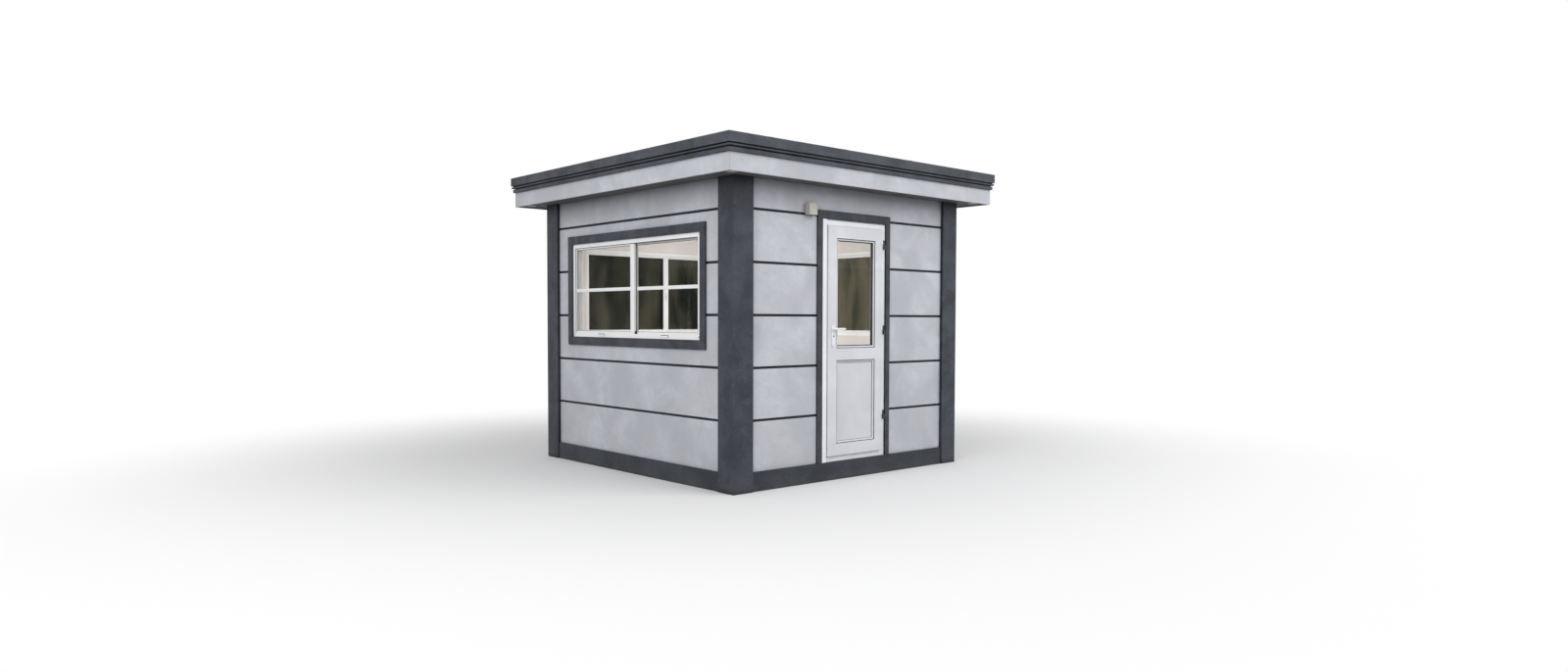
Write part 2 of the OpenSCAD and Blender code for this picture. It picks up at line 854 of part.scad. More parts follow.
// Frame half: the lower knuckle with the pin, on a block that reaches back to the jamb
module hinges_fixed()
    color("#3c3f45")
    each_hinge() {
        cylinder(r = knuckle_r, h = knuckle_h);
        cylinder(r = hinge_pin_r, h = hinge_h - hinge_cap - pin_end_gap);
        translate([0, knuckle_back - hinge_plate_t, 0])
            cube([leaf_gap / 2 + hinge_plate_w, hinge_plate_t, knuckle_h]);
        translate([leaf_gap / 2 + hinge_block_in, knuckle_back - hinge_plate_t, 0])
            cube([hinge_plate_w - hinge_block_in, hinge_plate_t + leaf_proud, knuckle_h]);
    }

// Leaf half: the upper knuckle, bored for the pin, with its plate on the leaf's face
module hinges_moving()
    color("#eceef1")
    each_hinge()
        translate([0, 0, knuckle_h + knuckle_gap])
            difference() {
                union() {
                    cylinder(r = knuckle_r, h = knuckle_h);
                    translate([-leaf_gap / 2 - hinge_plate_w, knuckle_back - hinge_plate_t, 0])
                        cube([hinge_plate_w + leaf_gap / 2, hinge_plate_t, knuckle_h]);
                }
                translate([0, 0, -eps])
                    cylinder(r = hinge_pin_r + pin_clear, h = knuckle_h - hinge_cap + eps);
            }

// Handle

module at_spindle()
    on_wall(FRONT) translate([spindle_u, 0, spindle_z]) children();

// One plate with round ends, its back at d = 0 and its face towards -Y
module handle_plate()
    rotate([90, 0, 0])
        difference() {
            union() {
                for (z = [plate_top - plate_w / 2, plate_top + plate_w / 2 - plate_h])
                    translate([0, z, 0]) cylinder(d = plate_w, h = plate_t);
                translate([-plate_w / 2, plate_top + plate_w / 2 - plate_h, 0])
                    cube([plate_w, plate_h - plate_w, plate_t]);
            }
            translate([0, 0, -eps]) cylinder(r = spindle_r + pin_clear, h = plate_t + 2 * eps);
            translate([0, -key_drop, plate_t / 2]) cylinder(r = key_r, h = plate_t);
        }

module door_plates()
    color("#f2f3f5")
    at_spindle() {
        translate([0, leaf_d0, 0]) handle_plate();
        translate([0, leaf_d1, 0]) mirror([0, 1, 0]) handle_plate();
    }

// One lever: a round hub out from the plate, then a bar towards the hinge side
module lever()
    union() {
        translate([0, -plate_t - hub_gap, 0]) rotate([90, 0, 0])
            cylinder(r = lever_r, h = lever_out - hub_gap);
        translate([0, -plate_t - lever_out, 0]) sphere(r = lever_r);
        translate([0, -plate_t - lever_out, 0]) rotate([0, 90, 0])
            cylinder(r = lever_r, h = lever_len - lever_r);
        translate([lever_len - lever_r, -plate_t - lever_out, 0]) sphere(r = lever_r);
    }

module door_handle()
    color("#f7f8fa")
    at_spindle() {
        translate([0, leaf_d0, 0]) lever();
        translate([0, leaf_d1, 0]) mirror([0, 1, 0]) lever();
        translate([0, leaf_d0 - plate_t - spindle_out, 0]) rotate([-90, 0, 0])
            cylinder(r = spindle_r, h = leaf_t + 2 * (plate_t + spindle_out));
    }

// A small wall box with a lid, beside the door casing's upper corner
module junction_box()
    color("#b6b4ae")
    on_wall(FRONT)
        translate([door_u0 - door_casing_w - jbox_gap - jbox_w, clad_in, door_z1 + jbox_up])
            difference() {
                translate([0, -jbox_d, 0]) cube([jbox_w, jbox_d, jbox_h]);
                translate([0, jbox_lid - jbox_d, 0])
                    difference() {
                        translate([-eps, 0, -eps])
                            cube([jbox_w + 2 * eps, jbox_groove, jbox_h + 2 * eps]);
                        translate([jbox_groove, -eps, jbox_groove])
                            cube([jbox_w - 2 * jbox_groove, jbox_groove + 2 * eps,
                                  jbox_h - 2 * jbox_groove]);
                    }
            }

base_frame();
floor_joists();
floor_deck();
floor_covering();
corner_posts();
front_wall_left();
front_wall_right();
front_wall_over();
left_wall();
back_wall();
right_wall();
front_cladding();
left_cladding();
back_cladding();
right_cladding();
joint_strips();
wall_linings();
ceiling();
roof_frame();
roof_deck();
roof_sheet();
eaves_moulding();
fascia();
soffit();
soffit_light_rims();
soffit_light_lenses();
window_casings();
left_window_frame();
back_window_frame();
right_window_frame();
left_window_sashes();
plain_window_sashes();
window_glass();
door_casing();
door_frame();
door_leaf();
door_glass();
door_panel();
door_beads();
door_plates();
door_handle();
hinges_fixed();
hinges_moving();
junction_box();
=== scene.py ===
import bmesh
import bpy
import json
import math
from mathutils import Matrix, Vector

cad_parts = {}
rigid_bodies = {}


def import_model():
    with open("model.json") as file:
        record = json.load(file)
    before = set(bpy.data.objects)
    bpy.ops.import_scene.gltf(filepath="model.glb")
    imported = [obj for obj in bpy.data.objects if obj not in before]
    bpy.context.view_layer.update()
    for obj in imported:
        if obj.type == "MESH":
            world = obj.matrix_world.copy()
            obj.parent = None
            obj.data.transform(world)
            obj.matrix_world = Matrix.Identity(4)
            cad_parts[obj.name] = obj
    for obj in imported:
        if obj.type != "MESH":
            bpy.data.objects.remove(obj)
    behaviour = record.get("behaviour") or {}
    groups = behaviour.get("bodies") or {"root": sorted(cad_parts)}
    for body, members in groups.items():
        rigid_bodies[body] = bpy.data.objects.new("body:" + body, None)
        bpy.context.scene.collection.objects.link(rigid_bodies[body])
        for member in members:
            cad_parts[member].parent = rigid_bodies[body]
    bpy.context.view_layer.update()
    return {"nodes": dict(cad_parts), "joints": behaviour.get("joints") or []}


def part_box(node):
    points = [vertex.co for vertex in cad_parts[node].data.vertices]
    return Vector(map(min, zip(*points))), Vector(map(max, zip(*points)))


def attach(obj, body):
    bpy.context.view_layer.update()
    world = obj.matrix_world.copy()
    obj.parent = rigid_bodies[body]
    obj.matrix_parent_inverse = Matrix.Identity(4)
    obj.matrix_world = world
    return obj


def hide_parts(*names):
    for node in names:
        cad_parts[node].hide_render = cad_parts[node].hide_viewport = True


for leftover in list(bpy.data.objects):
    bpy.data.objects.remove(leftover)
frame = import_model()


# Plinth
# Four rolled steel channels with their webs outwards, welded to corner feet. They are
# sprayed with a matt dark grey paint that picks up splashes from the ground.

def feed(tree, node, inputs):
    """Sets each named input of a node to a value, or links it from a socket."""
    for name, value in inputs.items():
        if isinstance(value, bpy.types.NodeSocket):
            tree.links.new(value, node.inputs[name])
        else:
            node.inputs[name].default_value = value


def add(tree, kind, inputs=None, **settings):
    """A new shader node in tree, with its inputs fed."""
    made = tree.nodes.new("ShaderNode" + kind)
    for name, value in settings.items():
        setattr(made, name, value)
    feed(tree, made, inputs or {})
    return made


def calculated(tree, operation, a, b):
    """A sum, share or the like of two numbers or masks."""
    return add(tree, "Math", {0: a, 1: b}, operation=operation).outputs[0]


def multiplied(tree, a, b):
    return calculated(tree, "MULTIPLY", a, b)


def stepped(tree, value, low, high):
    """0 where value is at low, 1 where it is at high, and a soft step between."""
    ranges = {"Value": value, "From Min": low, "From Max": high}
    return add(tree, "MapRange", ranges, interpolation_type="SMOOTHSTEP").outputs["Result"]


def mixed(tree, share, under, over):
    """The colour under, covered by the colour over as share goes from 0 to 1."""
    return add(tree, "Mix", {0: share, 6: under, 7: over}, data_type="RGBA").outputs[2]


def noise(tree, place, scale, detail=3.0, distortion=0.0, roughness=0.5):
    """Cloudy noise at a place; scale is about how many clouds a metre holds."""
    return add(tree, "TexNoise", {"Vector": place, "Scale": scale, "Detail": detail,
                                  "Distortion": distortion, "Roughness": roughness}).outputs["Fac"]


def effect_group(name, inputs, outputs):
    """A node group of number sockets; returns its tree, its input node and its output node."""
    tree = bpy.data.node_groups.new(name, "ShaderNodeTree")
    for label, value in inputs.items():
        socket = tree.interface.new_socket(label, in_out="INPUT", socket_type="NodeSocketFloat")
        socket.default_value = value
    for label in outputs:
        tree.interface.new_socket(label, in_out="OUTPUT", socket_type="NodeSocketFloat")
    return tree, tree.nodes.new("NodeGroupInput"), tree.nodes.new("NodeGroupOutput")


# Hand-worked surface: clouds of tone, strokes of a trowel or roller that change direction
# from place to place, sparse level smudges, grain and small pits
STROKE_TURNS = ((0.3, 0.2, 0.0), (-0.35, 0.5, 0.4), (0.8, -0.6, 0.9))
STROKE_STRETCH, SMUDGE_STRETCH = (1.7, 1.7, 0.5), (1.0, 1.0, 1.9)
STEP_ASIDE = (3.1, 7.7, 1.9)
PITS_PER_METRE = 26.0
worked, asked, given = effect_group(
    "worked_surface", {"Cloud size": 0.6, "Sweep size": 0.12, "Grain size": 0.004},
    ["Cloud", "Tint", "Sweeps", "Smudges", "Grain", "Pits", "Height"])
per_cloud, per_sweep, per_grain = [calculated(worked, "DIVIDE", 1.0, asked.outputs[label])
                                   for label in ("Cloud size", "Sweep size", "Grain size")]
place = add(worked, "TexCoord").outputs["Object"]
aside = add(worked, "Mapping", {"Vector": place, "Location": STEP_ASIDE}).outputs["Vector"]
level_place = add(worked, "Mapping", {"Vector": aside, "Scale": SMUDGE_STRETCH}).outputs["Vector"]
clouds = noise(worked, place, per_cloud, 5.0, 0.6)
tints = noise(worked, aside, per_cloud, 4.0, 0.9)
strokes = []
for turns in STROKE_TURNS:
    drawn = add(worked, "Mapping", {"Vector": place, "Rotation": turns, "Scale": STROKE_STRETCH},
                vector_type="TEXTURE").outputs["Vector"]
    strokes.append(noise(worked, drawn, per_sweep, 6.0, 0.8, 0.64))
share = stepped(worked, noise(worked, place, per_sweep, 2.0, 0.5), 0.4, 0.6)
sweeps = add(worked, "Mix", {0: share, 2: strokes[0], 3: strokes[1]}).outputs[0]
share = stepped(worked, noise(worked, aside, per_sweep, 2.0, 0.5), 0.45, 0.6)
sweeps = add(worked, "Mix", {0: share, 2: sweeps, 3: strokes[2]}).outputs[0]
grain = noise(worked, place, per_grain, 2.0)
cells = add(worked, "TexVoronoi", {"Vector": place, "Scale": PITS_PER_METRE}).outputs["Distance"]
pits = stepped(worked, cells, 0.09, 0.03)
relief = calculated(worked, "ADD", multiplied(worked, sweeps, 0.7), multiplied(worked, grain, 0.3))
feed(worked, given, {
    "Cloud": stepped(worked, clouds, 0.33, 0.67),
    "Tint": stepped(worked, tints, 0.4, 0.65),
    "Sweeps": stepped(worked, sweeps, 0.35, 0.68),
    "Smudges": stepped(worked, noise(worked, level_place, per_sweep, 6.0, 0.3), 0.56, 0.76),
    "Grain": grain,
    "Pits": pits,
    "Height": calculated(worked, "SUBTRACT", relief, multiplied(worked, pits, 0.5))})

# Weather and painted shading on a surface: splashes near the ground, runs down it, dust on
# what faces up, wear and a painted highlight along its arrises, and painted shade in its inner corners
RUN_STRETCH = (24.0, 24.0, 0.7)
weather_and_shading, asked, given = effect_group(
    "weather_and_shading", {"Splash height": 0.3, "Arris reach": 0.004, "Crevice reach": 0.03},
    ["Splash", "Runs", "Dust", "Arris wear and highlight", "Crevice shade"])
place = add(weather_and_shading, "TexCoord").outputs["Object"]
height = add(weather_and_shading, "SeparateXYZ", {"Vector": place}).outputs["Z"]
share_up = calculated(weather_and_shading, "DIVIDE", height, asked.outputs["Splash height"])
patches = stepped(weather_and_shading, noise(weather_and_shading, place, 7.0, 5.0, 0.5), 0.32, 0.68)
splash = multiplied(weather_and_shading, stepped(weather_and_shading, share_up, 1.0, 0.0), patches)
down = add(weather_and_shading, "Mapping", {"Vector": place, "Scale": RUN_STRETCH}).outputs["Vector"]
runs = multiplied(weather_and_shading, stepped(weather_and_shading, noise(weather_and_shading, down, 1.0, 4.0), 0.5, 0.75),
                  stepped(weather_and_shading, noise(weather_and_shading, place, 1.7, 2.0), 0.42, 0.62))
facing = add(weather_and_shading, "NewGeometry").outputs["Normal"]
upward = add(weather_and_shading, "SeparateXYZ", {"Vector": facing}).outputs["Z"]
dust = multiplied(weather_and_shading, stepped(weather_and_shading, upward, 0.35, 0.95),
                  stepped(weather_and_shading, noise(weather_and_shading, place, 5.0, 6.0), 0.25, 0.7))
# Arris: the paint rubbed through along the edges, with a painted highlight there too
rounded = add(weather_and_shading, "Bevel", {"Radius": asked.outputs["Arris reach"]}, samples=4).outputs["Normal"]
flatness = add(weather_and_shading, "VectorMath", {0: rounded, 1: facing}, operation="DOT_PRODUCT").outputs["Value"]
arris = multiplied(weather_and_shading, stepped(weather_and_shading, flatness, 0.985, 0.88),
                   stepped(weather_and_shading, noise(weather_and_shading, place, 19.0, 5.0), 0.42, 0.62))
# Crevice shade: painted shade, darker where ambient occlusion finds inner corners, recesses and
# overhangs within the reach
openness = add(weather_and_shading, "AmbientOcclusion", {"Distance": asked.outputs["Crevice reach"]},
               samples=4).outputs["AO"]
feed(weather_and_shading, given, {"Splash": splash, "Runs": runs, "Dust": dust, "Arris wear and highlight": arris,
                      "Crevice shade": stepped(weather_and_shading, openness, 0.9, 0.45)})


def linear(colour):
    """Red, green and blue from 0 to 255 as on screen, as the numbers that a shader takes."""
    channels = [c / 255 for c in colour]
    return (*[c / 12.92 if c < 0.04045 else ((c + 0.055) / 1.055) ** 2.4 for c in channels], 1.0)


def new_material(name):
    """A material, its node tree and its Principled shader."""
    material = bpy.data.materials.new(name)
    material.use_nodes = True
    tree = material.node_tree
    return material, tree, tree.nodes["Principled BSDF"]


def finish(name, pale, deep, sizes, relief, gloss, cover=(), splash_height=0.35,
           arris_reach=0.004, crevice_reach=0.03, sweep_share=0.3, level=0.3, metallic=0.0,
           coat=0.0):
    """A finish that goes between two tones, pale and deep, with what covers it laid on top.

    Colours are red, green and blue from 0 to 255. sizes are those of its clouds, sweeps and
    grain, relief is the height of its sweeps, gloss its smoothest and dullest roughness,
    cover a list of (weather or surface mask, strength, colour), level and coat the strength
    of its reflections."""
    material, tree, shader = new_material(name)
    surface = add(tree, "Group", {"Cloud size": sizes[0], "Sweep size": sizes[1],
                                  "Grain size": sizes[2]}, node_tree=worked)
    wear_and_shading = add(tree, "Group", {"Splash height": splash_height, "Arris reach": arris_reach,
                               "Crevice reach": crevice_reach}, node_tree=weather_and_shading)
    colour = mixed(tree, surface.outputs["Cloud"], linear(deep), linear(pale))
    strokes = multiplied(tree, surface.outputs["Sweeps"], sweep_share)
    colour = mixed(tree, strokes, colour, linear(deep))
    rough = stepped(tree, surface.outputs["Grain"], 0.2, 0.8)
    # The arris and crevice masks lay painted highlight and painted shade into the colour, along with the
    # dirt and wear
    for mask, strength, over in cover:
        source = wear_and_shading if mask in wear_and_shading.outputs else surface
        share = multiplied(tree, source.outputs[mask], strength)
        colour = mixed(tree, share, colour, linear(over))
        rough = calculated(tree, "MAXIMUM", rough, share)
    dullness = add(tree, "MapRange", {"Value": rough, "To Min": gloss[0], "To Max": gloss[1]})
    bump = add(tree, "Bump", {"Height": surface.outputs["Height"], "Distance": relief})
    feed(tree, shader, {"Base Color": colour, "Roughness": dullness.outputs["Result"],
                        "Normal": bump.outputs["Normal"], "Specular IOR Level": level,
                        "Metallic": metallic, "Coat Weight": coat})
    return material


def eased(made, width, segments=2):
    """Rounds a piece's sharp edges."""
    ease = made.modifiers.new("ease", "BEVEL")
    ease.width, ease.segments, ease.limit_method = width, segments, "ANGLE"
    ease.angle_limit = math.radians(40)
    return made


WELD_REACH = 0.00002


def dress(name, material, arris=0.0):
    """Gives a CAD node its finish, joins its points and rounds its edges by the width arris."""
    node = frame["nodes"][name]
    node.data.materials.clear()
    node.data.materials.append(material)
    if arris:
        node.modifiers.new("weld", "WELD").merge_threshold = WELD_REACH
        eased(node, arris).modifiers["ease"].harden_normals = True


earth = (118, 108, 96)
grime = (74, 72, 70)
# Its crevice shade is painted shade in the channels' inner corners, and its arris mask lays wear and a
# painted highlight along their edges.
plinth_paint = finish(
    "plinth_paint", (66, 70, 76), (52, 55, 61),
    sizes=(0.35, 0.06, 0.003), relief=0.0006, gloss=(0.5, 0.75),
    cover=[("Smudges", 0.3, (84, 88, 94)), ("Splash", 0.14, earth), ("Runs", 0.12, (88, 90, 94)),
           ("Arris wear and highlight", 0.4, (104, 107, 112)), ("Crevice shade", 0.5, (30, 31, 34))],
    splash_height=0.1, crevice_reach=0.02, level=0.2)
dress("base_frame", plinth_paint, 0.003)
dress("floor_joists", plinth_paint)


# Floor
# A board deck screwed down on the joists, with a sheet of grey vinyl glued over it. The
# vinyl is flecked and a little scuffed where people stand.

deck_board = finish(
    "deck_board", (186, 160, 122), (158, 130, 94),
    sizes=(0.2, 0.03, 0.0015), relief=0.0003, gloss=(0.6, 0.8),
    cover=[("Pits", 0.5, (120, 96, 66))])
floor_vinyl = finish(
    "floor_vinyl", (150, 151, 152), (132, 133, 135),
    sizes=(0.5, 0.05, 0.002), relief=0.0002, gloss=(0.35, 0.55),
    cover=[("Pits", 0.6, (96, 98, 102)), ("Dust", 0.2, (166, 160, 150))])
dress("floor_deck", deck_board)
dress("floor_covering", floor_vinyl)


# Corner posts
# Steel sheet folded into an L-shaped casing and closed, painted dark grey on the spot with
# a roller, so that the coat is faintly cloudy; along the arris it rubs through, with a painted
# highlight there too.

# The crevice shade reaches 7 cm and is nearly black: painted shadow at the tops of the posts under the
# soffit and where casings meet the wall.
dark_paint = finish(
    "dark_paint", (72, 75, 83), (50, 53, 59),
    sizes=(0.22, 0.07, 0.003), relief=0.0009, gloss=(0.45, 0.7),
    cover=[("Tint", 0.3, (62, 67, 77)), ("Smudges", 0.35, (88, 91, 98)), ("Splash", 0.1, earth),
           ("Runs", 0.14, (88, 91, 98)), ("Dust", 0.3, (104, 103, 100)),
           ("Arris wear and highlight", 0.55, (112, 116, 123)), ("Crevice shade", 0.9, (14, 15, 17))],
    splash_height=0.2, arris_reach=0.006, crevice_reach=0.07, sweep_share=0.35, level=0.22)
dress("corner_posts", dark_paint, 0.003)


# Wall cores
# Foam-filled panels stand on the deck between the cladding and the lining. Only their
# edges would show, pale yellow foam between two thin skins.

foam_core = finish(
    "foam_core", (214, 205, 182), (196, 185, 160),
    sizes=(0.15, 0.02, 0.002), relief=0.0008, gloss=(0.8, 0.95),
    cover=[("Pits", 0.4, (170, 158, 132))])
for name in ("front_wall_left", "front_wall_right", "front_wall_over", "left_wall", "back_wall",
             "right_wall"):
    dress(name, foam_core)


# Cladding
# Fibre-cement panels in courses, skimmed and painted light grey by hand. The sweeps of the
# trowel show as soft clouds, and dark strips close the joints between the courses.

# The crevice shade reaches 11 cm: painted shade under the eaves and beside the joint strips and casings.
# The arris mask adds a faint painted highlight along the panels' edges.
wall_paint = finish(
    "wall_paint", (205, 207, 215), (182, 185, 192),
    sizes=(0.42, 0.12, 0.0035), relief=0.0016, gloss=(0.6, 0.85),
    cover=[("Tint", 0.4, (192, 192, 195)), ("Smudges", 0.28, (166, 168, 173)),
           ("Pits", 0.35, (150, 151, 155)), ("Runs", 0.07, (164, 165, 169)),
           ("Splash", 0.2, (166, 162, 157)), ("Arris wear and highlight", 0.3, (208, 210, 215)),
           ("Crevice shade", 0.6, (108, 107, 108))],
    splash_height=0.4, crevice_reach=0.11, sweep_share=0.5, level=0.25)
joint_paint = finish(
    "joint_paint", (45, 47, 52), (32, 34, 38),
    sizes=(0.3, 0.05, 0.003), relief=0.0005, gloss=(0.55, 0.8),
    cover=[("Dust", 0.2, grime)],
    level=0.15)
for name in ("front_cladding", "left_cladding", "back_cladding", "right_cladding"):
    dress(name, wall_paint, 0.0025)
dress("joint_strips", joint_paint, 0.001)


# Lining and ceiling
# Boards painted cream with a roller, butt-jointed and pinned to the wall cores and the roof
# joists. The ceiling is a shade darker than the walls.

# The crevice shade is painted shade in the room's inner corners.
lining_paint = finish(
    "lining_paint", (232, 226, 223), (221, 215, 212),
    sizes=(0.7, 0.1, 0.003), relief=0.0004, gloss=(0.6, 0.75),
    cover=[("Crevice shade", 0.3, (170, 162, 156))],
    crevice_reach=0.05)
ceiling_paint = finish(
    "ceiling_paint", (198, 194, 194), (188, 184, 183),
    sizes=(0.7, 0.1, 0.003), relief=0.0004, gloss=(0.6, 0.75))
dress("wall_linings", lining_paint, 0.001)
dress("ceiling", ceiling_paint)


# Roof
# Timber joists and a board deck carry a low, hipped sheet roof. Its sheets are coated dark
# grey, lapped every 0.8 m or so, and patchy with dust.

roof_timber = finish(
    "roof_timber", (196, 168, 124), (166, 136, 94),
    sizes=(0.25, 0.025, 0.002), relief=0.0005, gloss=(0.65, 0.85),
    cover=[("Pits", 0.4, (120, 92, 60))])
# Along the edges and laps the arris mask lays wear and a painted highlight.
roof_coat = finish(
    "roof_coat", (78, 81, 87), (60, 63, 69),
    sizes=(0.9, 0.2, 0.003), relief=0.0008, gloss=(0.4, 0.75),
    cover=[("Dust", 0.3, (112, 111, 107)), ("Pits", 0.3, (48, 50, 54)),
           ("Arris wear and highlight", 0.3, (120, 123, 128))],
    level=0.25)
dress("roof_frame", roof_timber)
dress("roof_deck", roof_timber)
dress("roof_sheet", roof_coat, 0.0015)


def piece(name, bm, material, body):
    """Turns a finished bmesh into a piece that rides on a body."""
    bmesh.ops.recalc_face_normals(bm, faces=bm.faces)
    mesh = bpy.data.meshes.new(name)
    bm.to_mesh(mesh)
    bm.free()
    mesh.materials.append(material)
    made = bpy.data.objects.new(name, mesh)
    bpy.context.collection.objects.link(made)
    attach(made, body)
    return made


def bridge(bm, loops):
    """Joins each loop of points to the next with a band of faces; a loop of one point is a tip."""
    for first, second in zip(loops, loops[1:]):
        for k in range(max(len(first), len(second))):
            corners = [first[k % len(first)], first[(k + 1) % len(first)],
                       second[(k + 1) % len(second)], second[k % len(second)]]
            bm.faces.new(list(dict.fromkeys(corners)))


roof_low, roof_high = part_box("roof_sheet")
SHEET_T = 0.005
LAP_PLACES = (-1.24, -0.42, 0.42, 1.24)
LAP_W, LAP_T, LAP_SUNK, LAP_SHORT, LAP_STEPS = 0.05, 0.0016, 0.0004, 0.004, 24


def roof_height(x, y):
    """The sheet's top, which falls evenly from the middle to all four eaves."""
    fall = max(abs(x) / roof_high.x, abs(y) / roof_high.y)
    return roof_high.z - (roof_high.z - roof_low.z - SHEET_T) * fall


laps = bmesh.new()
for lap_x in LAP_PLACES:
    rows = []
    for k in range(LAP_STEPS + 1):
        y = (roof_high.y - LAP_SHORT) * (2 * k / LAP_STEPS - 1)
        rows.append([])
        for side, rise in ((-1, -LAP_SUNK), (-1, LAP_T), (1, LAP_T), (1, -LAP_SUNK)):
            x = lap_x + side * LAP_W / 2
            rows[-1].append(laps.verts.new((x, y, roof_height(x, y) + rise)))
    bridge(laps, rows)
    laps.faces.new(rows[0])
    laps.faces.new(rows[-1])
piece("roof_laps", laps, roof_coat, "body")


# Eaves
# A dark stepped moulding with a bead runs round the roof, mitred at the corners, over a
# light board fascia. Grey boards close the underside, with a round light at each corner; their
# grey, darker than the fascia's, is partly painted shade for the shadow under the eaves.

# A copy of the dark paint with nearly black painted shade in the moulding's grooves and a painted
# highlight on the bead.
eaves_paint = finish(
    "eaves_paint", (80, 83, 90), (54, 57, 63),
    sizes=(0.3, 0.09, 0.003), relief=0.0009, gloss=(0.45, 0.7),
    cover=[("Tint", 0.4, (66, 71, 81)), ("Smudges", 0.45, (98, 101, 107)),
           ("Runs", 0.2, (96, 98, 103)), ("Dust", 0.45, (112, 111, 108)),
           ("Arris wear and highlight", 0.7, (124, 128, 134)), ("Crevice shade", 1.0, (10, 11, 13))],
    arris_reach=0.006, crevice_reach=0.024, sweep_share=0.35, level=0.22)
dress("eaves_moulding", eaves_paint, 0.0015)
dress("fascia", wall_paint, 0.002)
# The soffit's mid grey is partly its own colour and partly painted shade under the eaves.
soffit_shade_paint = finish(
    "soffit_shade_paint", (112, 112, 112), (94, 94, 95),
    sizes=(0.4, 0.08, 0.003), relief=0.0005, gloss=(0.6, 0.85),
    cover=[("Crevice shade", 0.3, (70, 70, 70))],
    level=0.25)
dress("soffit", soffit_shade_paint, 0.001)
# The crevice shade on the rims is painted shade in their recesses.
light_rim = finish(
    "light_rim", (208, 203, 190), (196, 190, 176),
    sizes=(0.1, 0.02, 0.001), relief=0.0001, gloss=(0.25, 0.4),
    cover=[("Crevice shade", 0.5, grime)])
dress("soffit_light_rims", light_rim, 0.0006)


def circle(bm, radius, height, place, steps):
    """A loop of points round the local Z axis, or one point where the radius is 0."""
    angles = [2 * math.pi * k / steps for k in range(steps if radius else 1)]
    return [bm.verts.new(place @ Vector((radius * math.cos(a), radius * math.sin(a), height)))
            for a in angles]


def turned(bm, outline, place, steps=40):
    """Turns an outline of (radius, height) points round the local Z axis."""
    bridge(bm, [circle(bm, radius, height, place, steps) for radius, height in outline])


def smooth(made, angle=35):
    """Shades the flat faces of a turned or swept piece as one curved surface."""
    made.data.shade_smooth()
    made.data.set_sharp_from_angle(angle=math.radians(angle))
    return made


# Each lens is a shallow dish of frosted plastic with three rings pressed into it
# The crevice shade on the lenses is painted shade in their pressed rings.
light_lens = finish(
    "light_lens", (248, 240, 216), (240, 230, 202),
    sizes=(0.05, 0.01, 0.0008), relief=0.0001, gloss=(0.3, 0.5),
    cover=[("Crevice shade", 0.4, grime)])
LENS_R, LENS_GAP, LENS_RIM, LENS_MIDDLE = 0.0395, 0.0005, 0.001, 0.0008
RING_COUNT, RING_OUT, RING_IN, RING_H, RING_STEP = 3, 0.002, 0.004, 0.0012, 0.0002
lens_low, lens_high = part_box("soffit_light_lenses")
lens_outline = [(0, lens_high.z), (LENS_R, lens_high.z), (LENS_R, lens_low.z + LENS_RIM)]
for k in range(RING_COUNT, 0, -1):
    crest = LENS_R * k / (RING_COUNT + 0.6)
    lens_outline += [(crest + RING_OUT, lens_low.z + RING_H), (crest, lens_low.z),
                     (crest - RING_IN, lens_low.z + RING_STEP)]
lens_outline.append((0, lens_low.z + LENS_MIDDLE))
to_middle = LENS_R + LENS_GAP
lenses = bmesh.new()
for x in (lens_low.x + to_middle, lens_high.x - to_middle):
    for y in (lens_low.y + to_middle, lens_high.y - to_middle):
        turned(lenses, lens_outline, Matrix.Translation((x, y, 0)))
made = smooth(piece("light_lenses", lenses, light_lens, "body"))
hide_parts("soffit_light_lenses")


# Windows
# Three white plastic sliding windows in flat dark casings. Each has two sashes of welded
# profile on their own tracks, double seals round the panes, and capped weep slots.

dress("window_casings", dark_paint, 0.003)
# Its crevice shade is painted shade in the inner corners of frames and sashes.
window_plastic = finish(
    "window_plastic", (246, 245, 246), (238, 238, 240),
    sizes=(0.4, 0.05, 0.0012), relief=0.00008, gloss=(0.22, 0.42),
    cover=[("Runs", 0.1, (190, 188, 184)), ("Dust", 0.3, (196, 190, 180)),
           ("Crevice shade", 0.35, (130, 128, 124))],
    crevice_reach=0.008, sweep_share=0.1, level=0.4, coat=0.1)
for name in ("left_window_frame", "back_window_frame", "right_window_frame",
             "left_window_sashes", "plain_window_sashes"):
    dress(name, window_plastic, 0.0012)

# The three windows are alike, so their sizes are read from the service window
RAIL_W, MEETING_W, SASH_T, PANE_T, PANE_IN = 0.04, 0.062, 0.02, 0.005, 0.01
window_low, window_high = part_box("left_window_frame")
sash_low, sash_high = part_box("left_window_sashes")
window_w, window_h = window_high.y - window_low.y, window_high.z - window_low.z
sash_in, sash_foot = window_high.y - sash_high.y, sash_low.z - window_low.z
sash_w, sash_h = (sash_high.y - sash_low.y + MEETING_W) / 2, sash_high.z - sash_low.z
outer_track, inner_track = sash_low.x - window_low.x, sash_high.x - SASH_T - window_low.x
# Each sash: where it starts, the widths of its left and its right stile, and its depth
sashes = ((sash_in, RAIL_W, MEETING_W, outer_track),
          (window_w - sash_in - sash_w, MEETING_W, RAIL_W, inner_track))
# A pane's two faces: its depth within the sash, and which way it looks
PANE_FRONT, PANE_BACK = (SASH_T - PANE_T) / 2, (SASH_T + PANE_T) / 2
PANE_FACES = ((PANE_FRONT, -1), (PANE_BACK, 1))


def window_place(node, turns):
    """A window's own frame, from its lower left corner seen from outside: x to the right,
    y inwards and z up. turns is how many quarter turns its wall is from the door wall."""
    low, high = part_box(node)
    corner = (low.x if turns == 1 else high.x, low.y if turns == 3 else high.y, low.z)
    return Matrix.Translation(corner) @ Matrix.Rotation(-turns * math.pi / 2, 4, "Z")


